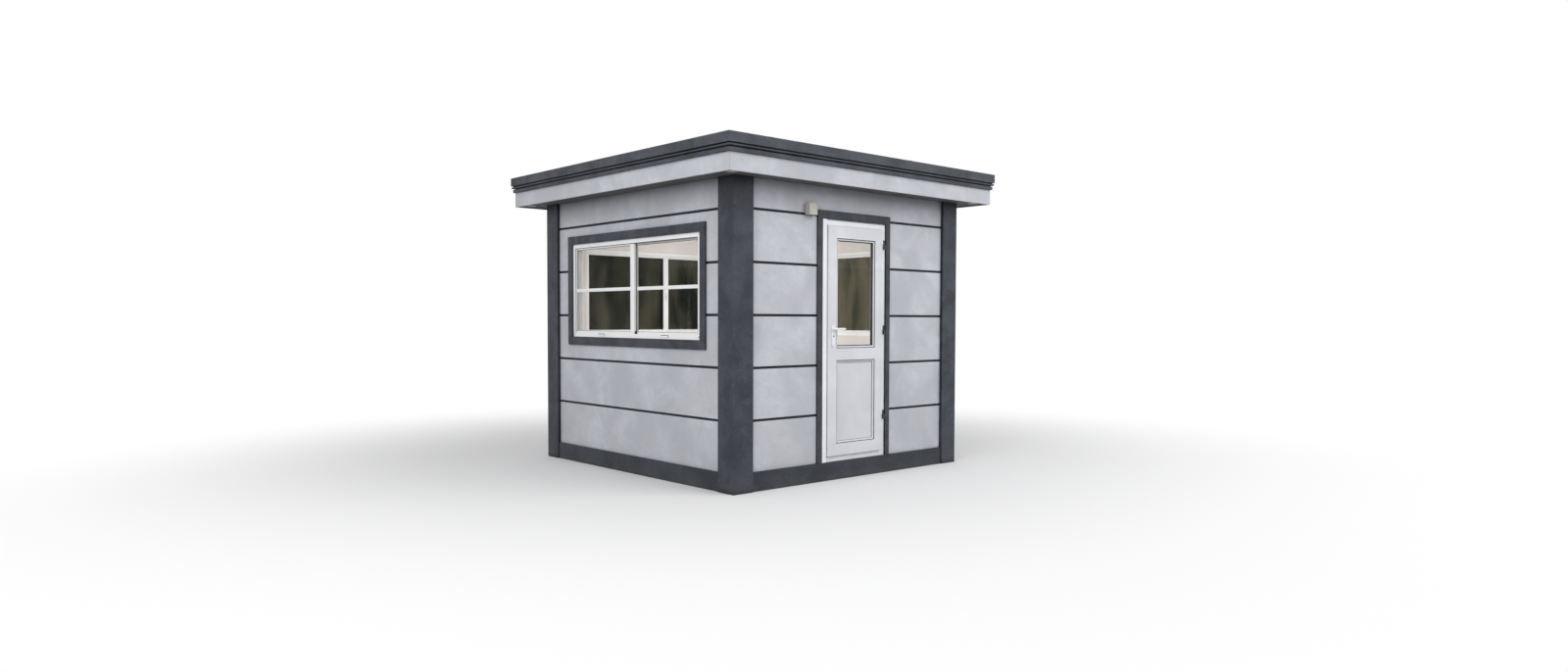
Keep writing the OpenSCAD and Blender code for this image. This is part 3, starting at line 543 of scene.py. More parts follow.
service_window = window_place("left_window_frame", 1)
windows = (service_window, window_place("back_window_frame", 2), window_place("right_window_frame", 3))


def ring(bm, width, height, section, place):
    """A mitred ring; section is an outline of (distance in from the edge, depth) points."""
    loops = []
    for inset, depth in section:
        corners = ((inset, inset), (width - inset, inset), (width - inset, height - inset),
                   (inset, height - inset))
        loops.append([bm.verts.new(place @ Vector((x, depth, z))) for x, z in corners])
    bridge(bm, loops + loops[:1])


def run(bm, outline, start, end, along, place=Matrix()):
    """A straight run of an outline, from start to end on the axis along (0, 1 or 2); the
    outline's points are on the other two axes, in their order."""
    across = [axis for axis in range(3) if axis != along]
    ends = []
    for distance in (start, end):
        row = []
        for point in outline:
            corner = Vector((0, 0, 0))
            corner[along], corner[across[0]], corner[across[1]] = distance, *point
            row.append(bm.verts.new(place @ corner))
        ends.append(row)
        bm.faces.new(row)
    bridge(bm, ends)


def rectangle(x0, y0, x1, y1):
    return [(x0, y0), (x1, y0), (x1, y1), (x0, y1)]


REFLECTION_BAND_STRETCH = (3.4, 3.4, 0.9)


def glass(name, tint, deep, daylight, bending):
    """Window glass, tinted from tint to deep in soft upright bands that are a painted reflection of
    blurred trees, and faintly smeared. It lets daylight into the room, coloured by daylight; bending is
    its index."""
    material, tree, shader = new_material(name)
    surface = add(tree, "Group", {"Cloud size": 0.5, "Sweep size": 0.2}, node_tree=worked)
    smears = multiplied(tree, surface.outputs["Sweeps"], surface.outputs["Cloud"])
    rough = add(tree, "MapRange", {"Value": smears, "To Min": 0.0, "To Max": 0.008})
    wave = add(tree, "Bump", {"Height": surface.outputs["Cloud"], "Distance": 0.00005})
    place = add(tree, "TexCoord").outputs["Object"]
    upright = add(tree, "Mapping", {"Vector": place, "Scale": REFLECTION_BAND_STRETCH}).outputs["Vector"]
    # The upright bands are a painted reflection of blurred trees in the glass.
    reflection_bands = stepped(tree, noise(tree, upright, 1.0, 4.0, 0.3), 0.36, 0.66)
    feed(tree, shader, {"Base Color": mixed(tree, reflection_bands, deep, tint),
                        "Roughness": rough.outputs["Result"], "Normal": wave.outputs["Normal"],
                        "Transmission Weight": 1.0, "IOR": bending})
    path = add(tree, "LightPath")
    passing = calculated(tree, "MAXIMUM", path.outputs["Is Shadow Ray"], path.outputs["Is Diffuse Ray"])
    through = add(tree, "BsdfTransparent", {"Color": daylight})
    both = add(tree, "MixShader", {0: passing, 1: shader.outputs[0], 2: through.outputs[0]})
    feed(tree, tree.nodes["Material Output"], {"Surface": both.outputs[0]})
    return material


# Clear panes in the service window; the other two windows have panes with a solar tint
clear_glass = glass("clear_glass", (0.95, 0.96, 0.95, 1.0), (0.9, 0.92, 0.9, 1.0),
                    daylight=(0.92, 0.93, 0.92, 1.0), bending=1.02)
back_glass = glass("back_glass", (0.068, 0.063, 0.044, 1.0), (0.014, 0.016, 0.014, 1.0),
                   daylight=(0.7, 0.7, 0.68, 1.0), bending=1.25)
side_glass = glass("side_glass", (0.13, 0.114, 0.078, 1.0), (0.034, 0.035, 0.03, 1.0),
                   daylight=(0.7, 0.7, 0.68, 1.0), bending=1.25)
for name, window, material in zip(("service_panes", "back_panes", "side_panes"), windows,
                                  (clear_glass, back_glass, side_glass)):
    panes = bmesh.new()
    for start, left, right, depth in sashes:
        run(panes, rectangle(start + left - PANE_IN, depth + PANE_FRONT,
                             start + sash_w - right + PANE_IN, depth + PANE_BACK),
            sash_foot + RAIL_W - PANE_IN, sash_foot + sash_h - RAIL_W + PANE_IN, 2, window)
    made = eased(piece(name, panes, material, "body"), 0.0005, 1)
    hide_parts("window_glass")

# Pale grey seals press on both faces of each pane, each with a rounded lip
seal_look = dict(sizes=(0.1, 0.02, 0.001), relief=0.0001, gloss=(0.55, 0.75),
                 cover=[("Dust", 0.4, grime)])
pale_seal = finish(
    "pale_seal", (176, 175, 172), (158, 157, 154),
    level=0.25, **seal_look)
seal_rubber = finish(
    "seal_rubber", (62, 62, 64), (48, 48, 50),
    level=0.2, **seal_look)
SEAL_W, SEAL_T = 0.0045, 0.003
seals = bmesh.new()
for window in windows:
    for start, left, right, depth in sashes:
        opening = window @ Matrix.Translation((start + left, depth, sash_foot + RAIL_W))
        for face, out in PANE_FACES:
            ring(seals, sash_w - left - right, sash_h - 2 * RAIL_W,
                 [(0.0, face), (SEAL_W, face), (SEAL_W * 0.8, face + out * SEAL_T * 0.5),
                  (SEAL_W * 0.4, face + out * SEAL_T), (0.0, face + out * SEAL_T)], opening)
piece("pane_seals", seals, pale_seal, "body")

# A black wiper seal lines the lip's sides and head and rubs on the outer sash; its black also
# stands in for the shadow line along the lip's inner edge. There is none along the foot, where
# water drains.
LIP_W, WIPER_W, WIPER_FACE, WIPER_BACK, WIPER_SHORT = 0.04, 0.005, 0.0032, 0.0057, 0.002
far_side, head = window_w - LIP_W, window_h - LIP_W
wipers = bmesh.new()
for window in windows:
    for start in (LIP_W, far_side - WIPER_W):
        run(wipers, rectangle(start, WIPER_FACE, start + WIPER_W, WIPER_BACK),
            LIP_W + WIPER_SHORT, head, 2, window)
    run(wipers, rectangle(WIPER_FACE, head - WIPER_W, WIPER_BACK, head),
        LIP_W + WIPER_W, far_side - WIPER_W, 0, window)
eased(piece("lip_wipers_and_shade_line", wipers, seal_rubber, "body"), 0.0006, 1)

# The service window has a flat glazing bar across each pane, stuck on both faces
BAR_H, BAR_T, BAR_EASE = 0.032, 0.0068, 0.002
bar_foot, bar_top = sash_foot + (sash_h - BAR_H) / 2, sash_foot + (sash_h + BAR_H) / 2
bars = bmesh.new()
for start, left, right, depth in sashes:
    for face, out in PANE_FACES:
        flat, front = depth + face, depth + face + out * BAR_T
        eased_in = front - out * BAR_EASE
        run(bars, [(flat, bar_foot), (eased_in, bar_foot), (front, bar_foot + BAR_EASE),
                   (front, bar_top - BAR_EASE), (eased_in, bar_top), (flat, bar_top)],
            start + left, start + sash_w - right, 0, service_window)
piece("glazing_bars", bars, window_plastic, "body")

# A black brush seal closes the gap at the meeting stiles, with a stop block at its foot; its
# black also stands in for the shade in the gap between the sashes
black_rubber = finish(
    "black_rubber", (38, 38, 40), (26, 26, 28),
    sizes=(0.1, 0.01, 0.0008), relief=0.0003, gloss=(0.7, 0.9),
    cover=[("Dust", 0.3, grime)],
    level=0.15)
BRUSH_W, BRUSH_PROUD, BRUSH_SPLAY, BRUSH_SHORT = 0.007, 0.001, 0.0005, 0.004
BRUSH_FOOT_GAP, BRUSH_TIP_GAP = 0.0002, 0.0003
STOP_W, STOP_FRONT, STOP_BACK, STOP_LOW, STOP_HIGH = 0.012, 0.012, 0.0255, 0.0015, 0.046
meeting = sash_in + sash_w
brush_end, brush_start = meeting + BRUSH_PROUD, meeting + BRUSH_PROUD - BRUSH_W
brush_foot, brush_tip = outer_track + SASH_T + BRUSH_FOOT_GAP, inner_track - BRUSH_TIP_GAP
brushes = bmesh.new()
for window in windows:
    run(brushes, [(brush_start, brush_foot), (brush_end, brush_foot),
                  (brush_end + BRUSH_SPLAY, brush_tip), (brush_start, brush_tip)],
        sash_foot + BRUSH_SHORT, sash_foot + sash_h - BRUSH_SHORT, 2, window)
    run(brushes, rectangle(meeting, STOP_FRONT, meeting + STOP_W, STOP_BACK),
        sash_foot + STOP_LOW, sash_foot + STOP_HIGH, 2, window)
eased(piece("meeting_brushes_and_gap_shade", brushes, black_rubber, "body"), 0.0008, 1)

# Small hoods snap over the weep slots so that wind doesn't blow rain back in. Each sits on
# a dark foam pad whose thin outline round the hood is painted shadow; a cap hides the screw
# in each lower corner.
HOOD_W, HOOD_LOW, HOOD_H, HOOD_T, HOOD_SLOPE = 0.1, 0.012, 0.017, 0.0045, 0.002
PAD_LOW, PAD_T, PAD_EDGE, PAD_SUNK = 0.013, 0.001, 0.005, 0.0002
CAP_R, CAP_IN, CAP_T = 0.005, 0.022, 0.002
hood_top, hood_back = HOOD_LOW + HOOD_H, PAD_SUNK - PAD_T
hoods, pads, screw_caps = bmesh.new(), bmesh.new(), bmesh.new()
for window in windows:
    for middle in (window_w / 4, window_w * 3 / 4):
        left, right = middle - HOOD_W / 2, middle + HOOD_W / 2
        run(hoods, [(hood_back, HOOD_LOW), (-HOOD_T, HOOD_LOW + HOOD_SLOPE),
                    (-HOOD_T, HOOD_LOW + HOOD_H * 0.6), (-HOOD_T * 0.5, hood_top),
                    (hood_back, hood_top)], left, right, 0, window)
        run(pads, rectangle(-PAD_T, PAD_LOW, PAD_SUNK, hood_top + PAD_EDGE),
            left - PAD_EDGE, right + PAD_EDGE, 0, window)
    for x in (CAP_IN, window_w - CAP_IN):
        cap_place = window @ Matrix.Translation((x, 0, CAP_IN)) @ Matrix.Rotation(math.pi / 2, 4, "X")
        turned(screw_caps, [(0, 0), (CAP_R, 0), (CAP_R, CAP_T / 2), (CAP_R * 0.76, CAP_T),
                            (0, CAP_T)], cap_place, 20)
eased(piece("weep_hoods", hoods, window_plastic, "body"), 0.0008, 1)
piece("hood_shadow_pads", pads, seal_rubber, "body")
piece("frame_screw_caps", screw_caps, seal_rubber, "body")

# A lever catch on the inner sash's meeting stile draws the two sashes of a window together
CATCH_W, CATCH_H, CATCH_T, KNOB_R, KNOB_T, KNOB_SUNK = 0.022, 0.09, 0.006, 0.012, 0.012, 0.001
TONGUE_W, TONGUE_FRONT, TONGUE_BACK, TONGUE_DOWN, TONGUE_UP = 0.014, 0.009, 0.016, 0.06, 0.008
room_face = inner_track + SASH_T
catch_x, catch_z = window_w - sash_in - sash_w + MEETING_W / 2, sash_h / 2
catches = bmesh.new()
for window in windows:
    run(catches, rectangle(catch_x - CATCH_W / 2, room_face, catch_x + CATCH_W / 2, room_face + CATCH_T),
        catch_z - CATCH_H / 2, catch_z + CATCH_H / 2, 2, window)
    turned(catches, [(0, 0), (KNOB_R, 0), (KNOB_R, KNOB_T * 0.75), (KNOB_R * 0.75, KNOB_T), (0, KNOB_T)],
           window @ Matrix.Translation((catch_x, room_face + CATCH_T - KNOB_SUNK, catch_z))
           @ Matrix.Rotation(-math.pi / 2, 4, "X"), 24)
    run(catches, rectangle(catch_x - TONGUE_W / 2, room_face + TONGUE_FRONT,
                           catch_x + TONGUE_W / 2, room_face + TONGUE_BACK),
        catch_z - TONGUE_DOWN, catch_z + TONGUE_UP, 2, window)
eased(piece("sash_catches", catches, window_plastic, "body"), 0.0015)


# Door
# A white plastic door set screwed into the opening: a frame with a stop, and a leaf of
# welded profile with a sealed pane above and a flat panel below, both held by beads.

dress("door_casing", dark_paint, 0.003)
# The crevice shade on the door's plastics is painted shade in its inner corners and along the beads.
door_marks = [("Tint", 0.3, (212, 211, 213)), ("Splash", 0.12, (176, 172, 164)),
              ("Runs", 0.08, (190, 190, 190)), ("Dust", 0.2, (196, 190, 180)),
              ("Crevice shade", 0.12, (120, 120, 122))]
moulded = dict(sizes=(0.3, 0.06, 0.0014), relief=0.0001, gloss=(0.25, 0.45), splash_height=0.6,
               crevice_reach=0.006, sweep_share=0.15, level=0.4, coat=0.1)
door_plastic = finish(
    "door_plastic", (222, 223, 228), (211, 212, 218),
    cover=door_marks,
    **moulded)
# A paler copy of the door's plastic, without its random tint, for the frame and the jamb cover: painted
# light that brightens the shaded jamb.
lit_frame_plastic = finish(
    "lit_frame_plastic", (240, 241, 244), (232, 233, 237),
    cover=door_marks[1:],
    **moulded)
# The panel's crevice shade reaches 2 cm: painted shade along its beads.
panel_plastic = finish(
    "panel_plastic", (215, 216, 221), (206, 207, 212),
    sizes=(0.45, 0.12, 0.0016), relief=0.00025, gloss=(0.35, 0.55),
    cover=[("Splash", 0.3, (176, 172, 164)), ("Runs", 0.12, (184, 184, 186)),
           ("Crevice shade", 0.4, (150, 150, 152))],
    splash_height=0.8, crevice_reach=0.02, sweep_share=0.25, level=0.35)
dress("door_frame", lit_frame_plastic, 0.0015)
dress("door_leaf", door_plastic, 0.0015)
dress("door_beads", door_plastic, 0.0015)
dress("door_panel", panel_plastic)

# A hollow cover strip clips on the lock-side jamb and brings it nearly level with the leaf
JAMB_W, COVER_EDGE, COVER_T, COVER_SHORT = 0.049, 0.0008, 0.02, 0.001
frame_low, frame_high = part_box("door_frame")
cover = bmesh.new()
run(cover, rectangle(frame_low.x + COVER_EDGE, frame_low.y - COVER_T,
                     frame_low.x + JAMB_W - COVER_EDGE, frame_low.y),
    frame_low.z + COVER_SHORT, frame_high.z - COVER_SHORT, 2)
eased(piece("jamb_cover", cover, lit_frame_plastic, "body"), 0.0025, 3)

# The pane is one thick sealed unit
pane_low, pane_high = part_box("door_glass")
door_pane = bmesh.new()
run(door_pane, rectangle(pane_low.x, pane_low.y, pane_high.x, pane_high.y), pane_low.z, pane_high.z, 2)
made = eased(piece("door_pane", door_pane, clear_glass, "door"), 0.0005, 1)
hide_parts("door_glass")

# Black seals press on the pane and the panel, along the beads outside and along the leaf's
# lip on the room side. A flat black strip follows the beads' outer edges; its black is partly
# a seal's lip and partly painted shadow along the gap there.
BEAD_W, BEAD_FALL, LEAF_LIP_W = 0.018, 0.005, 0.012
STRIP_W, STRIP_T, STRIP_SUNK = 0.006, 0.0012, 0.001
strip_fall = BEAD_FALL * STRIP_W / BEAD_W
bead_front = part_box("door_beads")[0].y
door_seals = bmesh.new()
for node, seal_w, seal_t in (("door_glass", 0.008, 0.005), ("door_panel", 0.003, 0.002)):
    low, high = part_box(node)
    for inset, face, out in ((BEAD_W, low.y, -1), (LEAF_LIP_W, high.y, 1)):
        ring(door_seals, high.x - low.x - 2 * inset, high.z - low.z - 2 * inset,
             [(0.0, 0.0), (seal_w, 0.0), (seal_w * 0.7, out * seal_t * 0.7), (0.0, out * seal_t)],
             Matrix.Translation((low.x + inset, face, low.z + inset)))
    ring(door_seals, high.x - low.x, high.z - low.z,
         [(0.0, STRIP_SUNK), (0.0, -STRIP_T), (STRIP_W, strip_fall - STRIP_T),
          (STRIP_W, strip_fall + STRIP_SUNK)], Matrix.Translation((low.x, bead_front, low.z)))
piece("door_seals", door_seals, black_rubber, "door")

# A soft black seal in the frame's rebate, which the closed leaf presses on
LEAF_GAP, REBATE_SEAL_T = 0.005, 0.0045
FOOT_START, FOOT_END, LIP_START, LIP_END = 0.004, 0.014, 0.006, 0.011
stop_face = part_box("door_leaf")[1].y + LEAF_GAP
seal_face = stop_face - REBATE_SEAL_T
rebate_seal = bmesh.new()
ring(rebate_seal, frame_high.x - frame_low.x - 2 * JAMB_W, frame_high.z - frame_low.z - 2 * JAMB_W,
     [(FOOT_START, stop_face), (FOOT_END, stop_face), (LIP_END, seal_face), (LIP_START, seal_face)],
     Matrix.Translation((frame_low.x + JAMB_W, 0, frame_low.z + JAMB_W)))
piece("rebate_seal", rebate_seal, black_rubber, "body")


# Door furniture
# Die-cast lever handles on long plates, powder-coated white, with a steel lock cylinder
# below the lever and a screw at each end of the plate.

# Crevice shade on the handles, plates and screws is painted shade in their recesses and where parts
# meet; on the white coat the arris mask greys the edges.
white_coat = finish(
    "white_coat", (240, 241, 244), (232, 233, 237),
    sizes=(0.08, 0.015, 0.0009), relief=0.00006, gloss=(0.18, 0.34),
    cover=[("Arris wear and highlight", 0.2, (196, 196, 198)), ("Crevice shade", 0.5, (120, 120, 122))],
    arris_reach=0.001, crevice_reach=0.006, sweep_share=0.1, level=0.5, coat=0.2)
steel = finish(
    "steel", (186, 186, 188), (150, 150, 154),
    sizes=(0.03, 0.008, 0.0006), relief=0.00006, gloss=(0.25, 0.5),
    cover=[("Crevice shade", 0.6, (60, 58, 56))],
    crevice_reach=0.004, metallic=0.9, level=0.5)
dress("door_plates", white_coat, 0.0018)

pivots = {joint["name"]: Vector(joint["pos_m"]) for joint in frame["joints"]}
spindle = pivots["door_handle"]
# The outer and the inner plate: its face, and which way that looks
plate_low, plate_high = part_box("door_plates")
plate_faces = ((plate_low.y, -1), (plate_high.y, 1))
# The lever's half height and half depth at its neck, after the bend and before its tip
NECK, GRIP, TIP = Vector((0.0092, 0.0092)), Vector((0.0104, 0.0074)), Vector((0.0096, 0.007))
LEVER_OUT, LEVER_LEN, LEVER_LEAN, NECK_LOW = 0.036, 0.1149, 0.002, 0.0005
BEND_R, BEND_START, BEND_STEPS = 0.012, 0.004, 8
GRIP_STEPS, TIP_LEN, TIP_STEPS, TIP_BLUNT = 4, 0.0094, 5, 0.02
LEVER_SIDES, LEVER_SQUARE = 28, 0.8
ROSE_R, ROSE_LOW, ROSE_T, ROSE_EDGE_W, ROSE_EDGE_T = 0.0125, 0.0002, 0.003, 0.0013, 0.0008


def lever_line():
    """Points of the lever: along, out from the plate, half height and half depth."""
    line = [(0.0, NECK_LOW, *NECK), (0.0, LEVER_OUT - BEND_R - BEND_START, *NECK)]
    for k in range(1, BEND_STEPS + 1):
        share = k / BEND_STEPS
        a = math.pi / 2 * share
        line.append((BEND_R * (1 - math.cos(a)), LEVER_OUT - BEND_R * (1 - math.sin(a)),
                     *NECK.lerp(GRIP, share)))
    tip_start = LEVER_LEN - TIP_LEN
    for k in range(1, GRIP_STEPS + 1):
        share = k / GRIP_STEPS
        line.append((BEND_R + (tip_start - BEND_R) * share, LEVER_OUT - LEVER_LEAN * share ** 2,
                     *GRIP.lerp(TIP, share)))
    for k in range(1, TIP_STEPS + 1):
        a = math.pi / 2 * k / TIP_STEPS
        line.append((tip_start + TIP_LEN * math.sin(a), LEVER_OUT - LEVER_LEAN,
                     *(TIP * max(math.cos(a), TIP_BLUNT))))
    return line


def add_lever(bm, face, outwards):
    """One lever with a rounded square section, swept along its line."""
    line = lever_line()
    rings = []
    for k, (along, out, half_h, half_d) in enumerate(line):
        before, after = line[max(k - 1, 0)], line[min(k + 1, len(line) - 1)]
        ahead = Vector((after[0] - before[0], after[1] - before[1])).normalized()
        rings.append([])
        for s in range(LEVER_SIDES):
            a = 2 * math.pi * s / LEVER_SIDES
            across = half_d * math.copysign(abs(math.cos(a)) ** LEVER_SQUARE, math.cos(a))
            up = half_h * math.copysign(abs(math.sin(a)) ** LEVER_SQUARE, math.sin(a))
            rings[-1].append(bm.verts.new((spindle.x + along - ahead.y * across,
                                           face + outwards * (out + ahead.x * across),
                                           spindle.z + up)))
    bridge(bm, rings)
    bm.faces.new(rings[0])
    bm.faces.new(rings[-1])


levers = bmesh.new()
for face, outwards in plate_faces:
    add_lever(levers, face, outwards)
    turned(levers, [(0, ROSE_LOW), (ROSE_R, ROSE_LOW), (ROSE_R, ROSE_T - ROSE_EDGE_T),
                    (ROSE_R - ROSE_EDGE_W, ROSE_T), (0, ROSE_T)],
           Matrix.Translation((spindle.x, face, spindle.z))
           @ Matrix.Rotation(-outwards * math.pi / 2, 4, "X"))
made = smooth(piece("lever_pair", levers, white_coat, "handle"), 40)
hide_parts("door_handle")


SCREW_SIDES, SCREW_SUNK = 20, 0.0005


def screw_head(bm, place, radius):
    """A countersunk head seen from its local +Z: a low dome with a cross recess."""
    arm, half, rim = radius * 0.62, radius * 0.16, radius * 0.82
    dome, deep, taper = radius * 0.18, radius * 0.35, 0.8
    outline = [(arm, -half), (arm, half), (half, half), (half, arm), (-half, arm), (-half, half),
               (-arm, half), (-arm, -half), (-half, -half), (-half, -arm), (half, -arm), (half, -half)]
    foot = circle(bm, radius, -SCREW_SUNK, place, SCREW_SIDES)
    lip = circle(bm, rim, dome, place, SCREW_SIDES)
    bridge(bm, [foot, lip])
    top = [bm.verts.new(place @ Vector((x, y, dome))) for x, y in outline]
    pit = [bm.verts.new(place @ Vector((x * taper, y * taper, dome - deep))) for x, y in outline]
    # The flat between the rim and the recess is filled, and what covers the recess removed
    edges = []
    for loop in (lip, top):
        for pair in zip(loop, loop[1:] + loop[:1]):
            edges.append(bm.edges.get(pair) or bm.edges.new(pair))
    bmesh.ops.triangle_fill(bm, use_beauty=True, edges=edges, normal=place.to_3x3() @ Vector((0, 0, 1)))
    for face in [f for f in bm.faces if set(f.verts) <= set(top)]:
        bm.faces.remove(face)
    bridge(bm, [top, pit])
    bm.faces.new(pit)


PLATE_SCREWS, PLATE_SCREW_R = (0.022, -0.134), 0.0042
LOCK_DROP, LOCK_R, LOCK_SUNK, LOCK_OUT = 0.062, 0.0085, 0.002, 0.0028
LOCK_EDGE_W, LOCK_EDGE_T, LOCK_DOME = 0.0007, 0.001, 0.0002
PLUG_R, PLUG_OUT, PLUG_GAP = 0.005, 0.0022, 0.0002
KEY_W, KEY_H, KEY_SUNK, KEY_OUT = 0.0014, 0.0084, 0.0003, 0.0002
plate_screws, cylinders, key_slots = bmesh.new(), bmesh.new(), bmesh.new()
for face, outwards in plate_faces:
    turn = Matrix.Rotation(-outwards * math.pi / 2, 4, "X")
    for rise in PLATE_SCREWS:
        spot = Matrix.Translation((spindle.x, face, spindle.z + rise)) @ turn
        screw_head(plate_screws, spot, PLATE_SCREW_R)
    hole = Matrix.Translation((spindle.x, face, spindle.z - LOCK_DROP)) @ turn
    turned(cylinders, [(0, -LOCK_SUNK), (LOCK_R, -LOCK_SUNK), (LOCK_R, LOCK_OUT - LOCK_EDGE_T),
                       (LOCK_R - LOCK_EDGE_W, LOCK_OUT - LOCK_DOME), (PLUG_R + PLUG_GAP, LOCK_OUT),
                       (PLUG_R, PLUG_OUT), (0, PLUG_OUT)], hole)
    run(key_slots, rectangle(-KEY_W / 2, -KEY_H / 2, KEY_W / 2, KEY_H / 2),
        PLUG_OUT - KEY_SUNK, PLUG_OUT + KEY_OUT, 2, hole)
piece("plate_screws", plate_screws, steel, "door")
smooth(piece("lock_cylinders", cylinders, steel, "door"))
piece("key_slots", key_slots, black_rubber, "door")


# Hinges
# Three steel butt hinges. The lower knuckle holds the pin, and its plate is screwed to the
# frame and painted dark with the casing. The upper one has a white plate on the leaf. Dark
# plastic sleeves cover both knuckles.

dress("hinges_fixed", dark_paint, 0.0008)
dress("hinges_moving", white_coat, 0.0008)
sleeve_plastic = finish(
    "sleeve_plastic", (48, 50, 55), (34, 36, 40),
    sizes=(0.02, 0.01, 0.0008), relief=0.00008, gloss=(0.3, 0.5),
    cover=[("Dust", 0.4, grime), ("Smudges", 0.3, (66, 68, 72))])
HINGE_H, KNUCKLE_H, KNUCKLE_R, SLEEVE_T, SLEEVE_SHORT = 0.08, 0.0395, 0.007, 0.0004, 0.0003
# The sleeve's domed end: shares of its radius, and heights beyond the knuckle's end
SLEEVE_DOME = ((0, 0.0024), (0.6, 0.002), (0.86, 0.0012), (1, -0.0006))
HINGE_PLATE_IN, HINGE_SCREW_OUT, HINGE_SCREW_UP, HINGE_SCREW_R = 0.004, 0.019, 0.0115, 0.0036
hinge_axis = pivots["door"]
lowest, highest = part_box("hinges_fixed")[0].z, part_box("hinges_moving")[1].z - HINGE_H
sleeve_r, sleeve_foot = KNUCKLE_R + SLEEVE_T, SLEEVE_SHORT - KNUCKLE_H
sleeve_outline = [(sleeve_r * share, rise) for share, rise in SLEEVE_DOME]
sleeve_outline += [(sleeve_r, sleeve_foot), (0, sleeve_foot)]
out_of_door = Matrix.Rotation(math.pi / 2, 4, "X")
# The frame's half is to the right of the pin and below, the leaf's to its left and above
for body, half, side, cap, middle in (("body", "frame_hinge", 1, 0.0, KNUCKLE_H / 2),
                                      ("door", "leaf_hinge", -1, HINGE_H, HINGE_H - KNUCKLE_H / 2)):
    screws, sleeves = bmesh.new(), bmesh.new()
    for foot in (lowest, (lowest + highest) / 2, highest):
        for rise in (-HINGE_SCREW_UP, HINGE_SCREW_UP):
            spot = hinge_axis + Vector((side * HINGE_SCREW_OUT, HINGE_PLATE_IN, foot + middle + rise))
            screw_head(screws, Matrix.Translation(spot) @ out_of_door, HINGE_SCREW_R)
        turned(sleeves, sleeve_outline, Matrix.Translation(hinge_axis + Vector((0, 0, foot + cap)))
               @ Matrix.Scale(-side, 4, Vector((0, 0, 1))), 28)
    piece(half + "_screws", screws, steel, body)
    smooth(piece(half + "_sleeves", sleeves, sleeve_plastic, body))


# Junction box
# A moulded plastic wall box beside the door casing, beige-grey and a little yellowed, with
# a lid on four screws over a rubber-sealed groove.

# Its crevice shade is painted shade in its grooves and inner corners.
box_plastic = finish(
    "box_plastic", (200, 197, 190), (188, 185, 176),
    sizes=(0.08, 0.02, 0.0012), relief=0.00015, gloss=(0.4, 0.6),
    cover=[("Runs", 0.25, (150, 146, 136)), ("Dust", 0.4, (160, 154, 142)),
           ("Crevice shade", 0.6, (92, 90, 86))],
    crevice_reach=0.006)
dress("junction_box", box_plastic, 0.002)
LID_SCREW_IN, LID_SCREW_R = 0.011, 0.0036
box_low, box_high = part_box("junction_box")
lid_screws = bmesh.new()
for x in (box_low.x + LID_SCREW_IN, box_high.x - LID_SCREW_IN):
    for z in (box_low.z + LID_SCREW_IN, box_high.z - LID_SCREW_IN):
        screw_head(lid_screws, Matrix.Translation((x, box_low.y, z)) @ out_of_door, LID_SCREW_R)
piece("lid_screws", lid_screws, steel, "body")


# Floor, light and camera
# A pale studio floor that turns white away from the booth, and an even white sky. One
# broad lamp stands before the door wall, a slightly weaker one before the service window,
# and a soft light hangs in the room.

def looked_at(tree, path):
    """1 for what the camera sees, also in a reflection or through glass, and 0 for light."""
    seen = path.outputs["Is Camera Ray"]
    for label in ("Is Glossy Ray", "Is Transmission Ray"):
        seen = calculated(tree, "MAXIMUM", seen, path.outputs[label])
    return seen


# Light that bounces off the floor meets a darker tone, so that the soffit stays dark
FLOOR_R, FADE_START, FADE_END = 60.0, 2.6, 7.0
floor_tone, bounce_tone = (0.74, 0.74, 0.74, 1.0), (0.3, 0.3, 0.3, 1.0)
floor_mesh = bpy.data.meshes.new("studio_floor")
floor_mesh.from_pydata([(-FLOOR_R, -FLOOR_R, 0), (FLOOR_R, -FLOOR_R, 0), (FLOOR_R, FLOOR_R, 0),
                        (-FLOOR_R, FLOOR_R, 0)], [], [(0, 1, 2, 3)])
floor = bpy.data.objects.new("studio_floor", floor_mesh)
bpy.context.collection.objects.link(floor)
floor_paint, tree, shader = new_material("studio_floor")
path = add(tree, "LightPath")
place = add(tree, "TexCoord").outputs["Object"]
away = add(tree, "VectorMath", {0: place}, operation="LENGTH").outputs["Value"]
feed(tree, shader, {"Base Color": mixed(tree, path.outputs["Is Diffuse Ray"], floor_tone, bounce_tone),
                    "Roughness": 0.9, "Specular IOR Level": 0.1})
far = multiplied(tree, stepped(tree, away, FADE_START, FADE_END), looked_at(tree, path))
white = add(tree, "Emission", {"Color": (1.0, 1.0, 1.0, 1.0), "Strength": 1.0})
both = add(tree, "MixShader", {0: far, 1: shader.outputs[0], 2: white.outputs[0]})
feed(tree, tree.nodes["Material Output"], {"Surface": both.outputs[0]})
floor_mesh.materials.append(floor_paint)

sky = bpy.context.scene.world or bpy.data.worlds.new("sky")
bpy.context.scene.world = sky
sky.use_nodes = True
tree = sky.node_tree
tree.nodes.clear()
path = add(tree, "LightPath")
lighting = add(tree, "Background", {"Color": (0.985, 0.99, 1.0, 1.0), "Strength": 0.72})
backdrop = add(tree, "Background", {"Color": (1.0, 1.0, 1.0, 1.0), "Strength": 1.0})
both = add(tree, "MixShader", {0: looked_at(tree, path), 1: lighting.outputs[0], 2: backdrop.outputs[0]})
add(tree, "OutputWorld", {"Surface": both.outputs[0]})

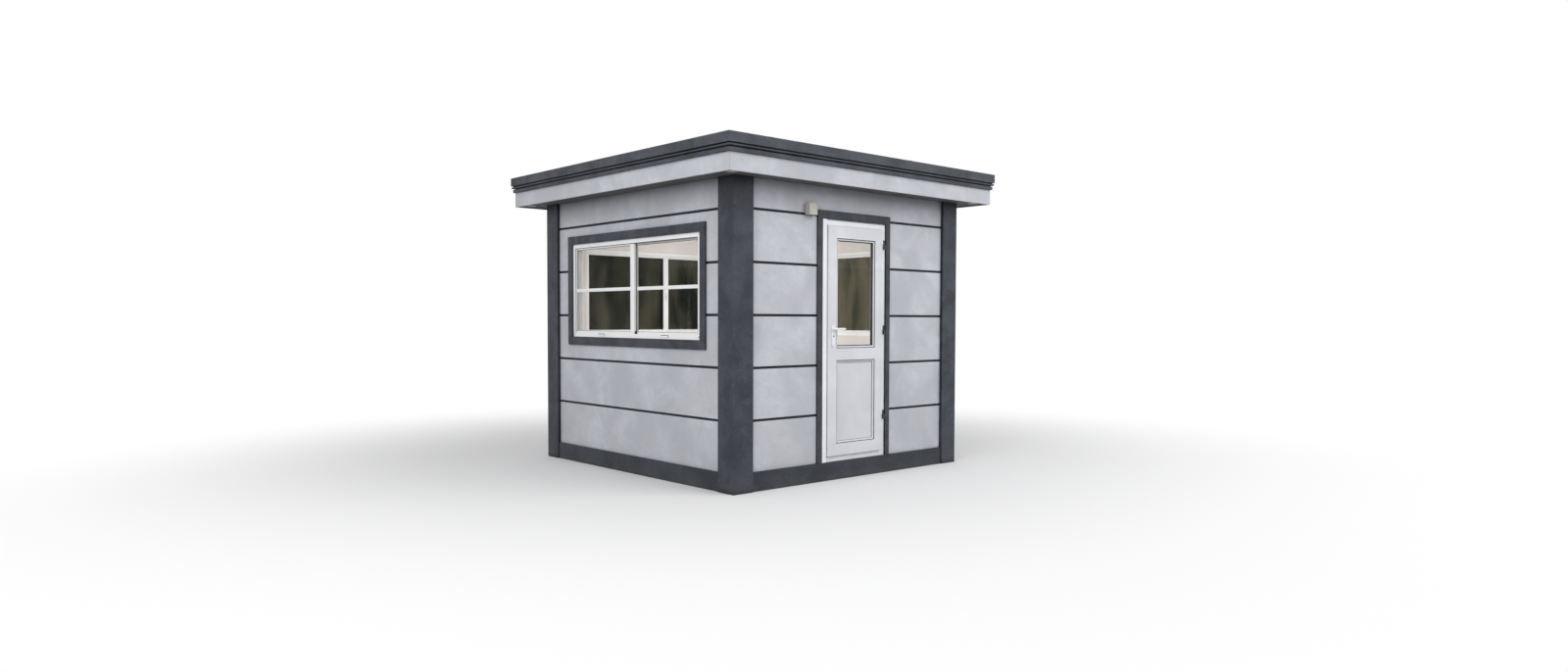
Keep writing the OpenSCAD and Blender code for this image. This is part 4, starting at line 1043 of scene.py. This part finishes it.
LAMP_AIM, LAMP_SIZE = Vector((0, 0, 1.3)), 7.0


def soft_lamp(name, spot, power):
    """A broad square lamp that faces the middle of the booth."""
    data = bpy.data.lights.new(name, "AREA")
    data.size, data.energy = LAMP_SIZE, power
    lamp = bpy.data.objects.new(name, data)
    lamp.location = spot
    lamp.rotation_euler = (LAMP_AIM - Vector(spot)).to_track_quat("-Z", "Y").to_euler()
    bpy.context.collection.objects.link(lamp)


soft_lamp("door_side_lamp", (3.5, -8.5, 6.5), 455.0)
soft_lamp("service_side_lamp", (-8.5, -4.0, 5.5), 405.0)
room_data = bpy.data.lights.new("room_light", "POINT")
room_data.shadow_soft_size, room_data.energy, room_data.color = 0.45, 46.0, (1.0, 0.99, 0.98)
room_light = bpy.data.objects.new("room_light", room_data)
room_light.location = (0.0, 0.1, 1.55)
room_light.visible_camera = room_light.visible_glossy = room_light.visible_transmission = False
bpy.context.collection.objects.link(room_light)

CAMERA_SPOT, CAMERA_HEADING, CAMERA_TILT, CAMERA_ROLL = (-6.312, -7.511, 1.408), 47.668, 2.105, 0.00311
camera_data = bpy.data.cameras.new("camera")
camera_data.sensor_width, camera_data.lens = 36.0, 22.435
camera_data.shift_x, camera_data.shift_y = -0.00205, 0.01212
camera_data.clip_end = 200.0
camera = bpy.data.objects.new("camera", camera_data)
heading, tilt = math.radians(CAMERA_HEADING), math.radians(CAMERA_TILT)
ahead = Vector((math.cos(heading) * math.cos(tilt), math.sin(heading) * math.cos(tilt),
                -math.sin(tilt)))
right = Vector((math.sin(heading), -math.cos(heading), 0))
up = right.cross(ahead)
level_x = right * math.cos(CAMERA_ROLL) + up * math.sin(CAMERA_ROLL)
level_y = up * math.cos(CAMERA_ROLL) - right * math.sin(CAMERA_ROLL)
camera.matrix_world = (Matrix.Translation(CAMERA_SPOT)
                       @ Matrix((level_x, level_y, -ahead)).transposed().to_4x4())
bpy.context.collection.objects.link(camera)
bpy.context.scene.camera = camera
bpy.context.scene.view_settings.view_transform = "Standard"
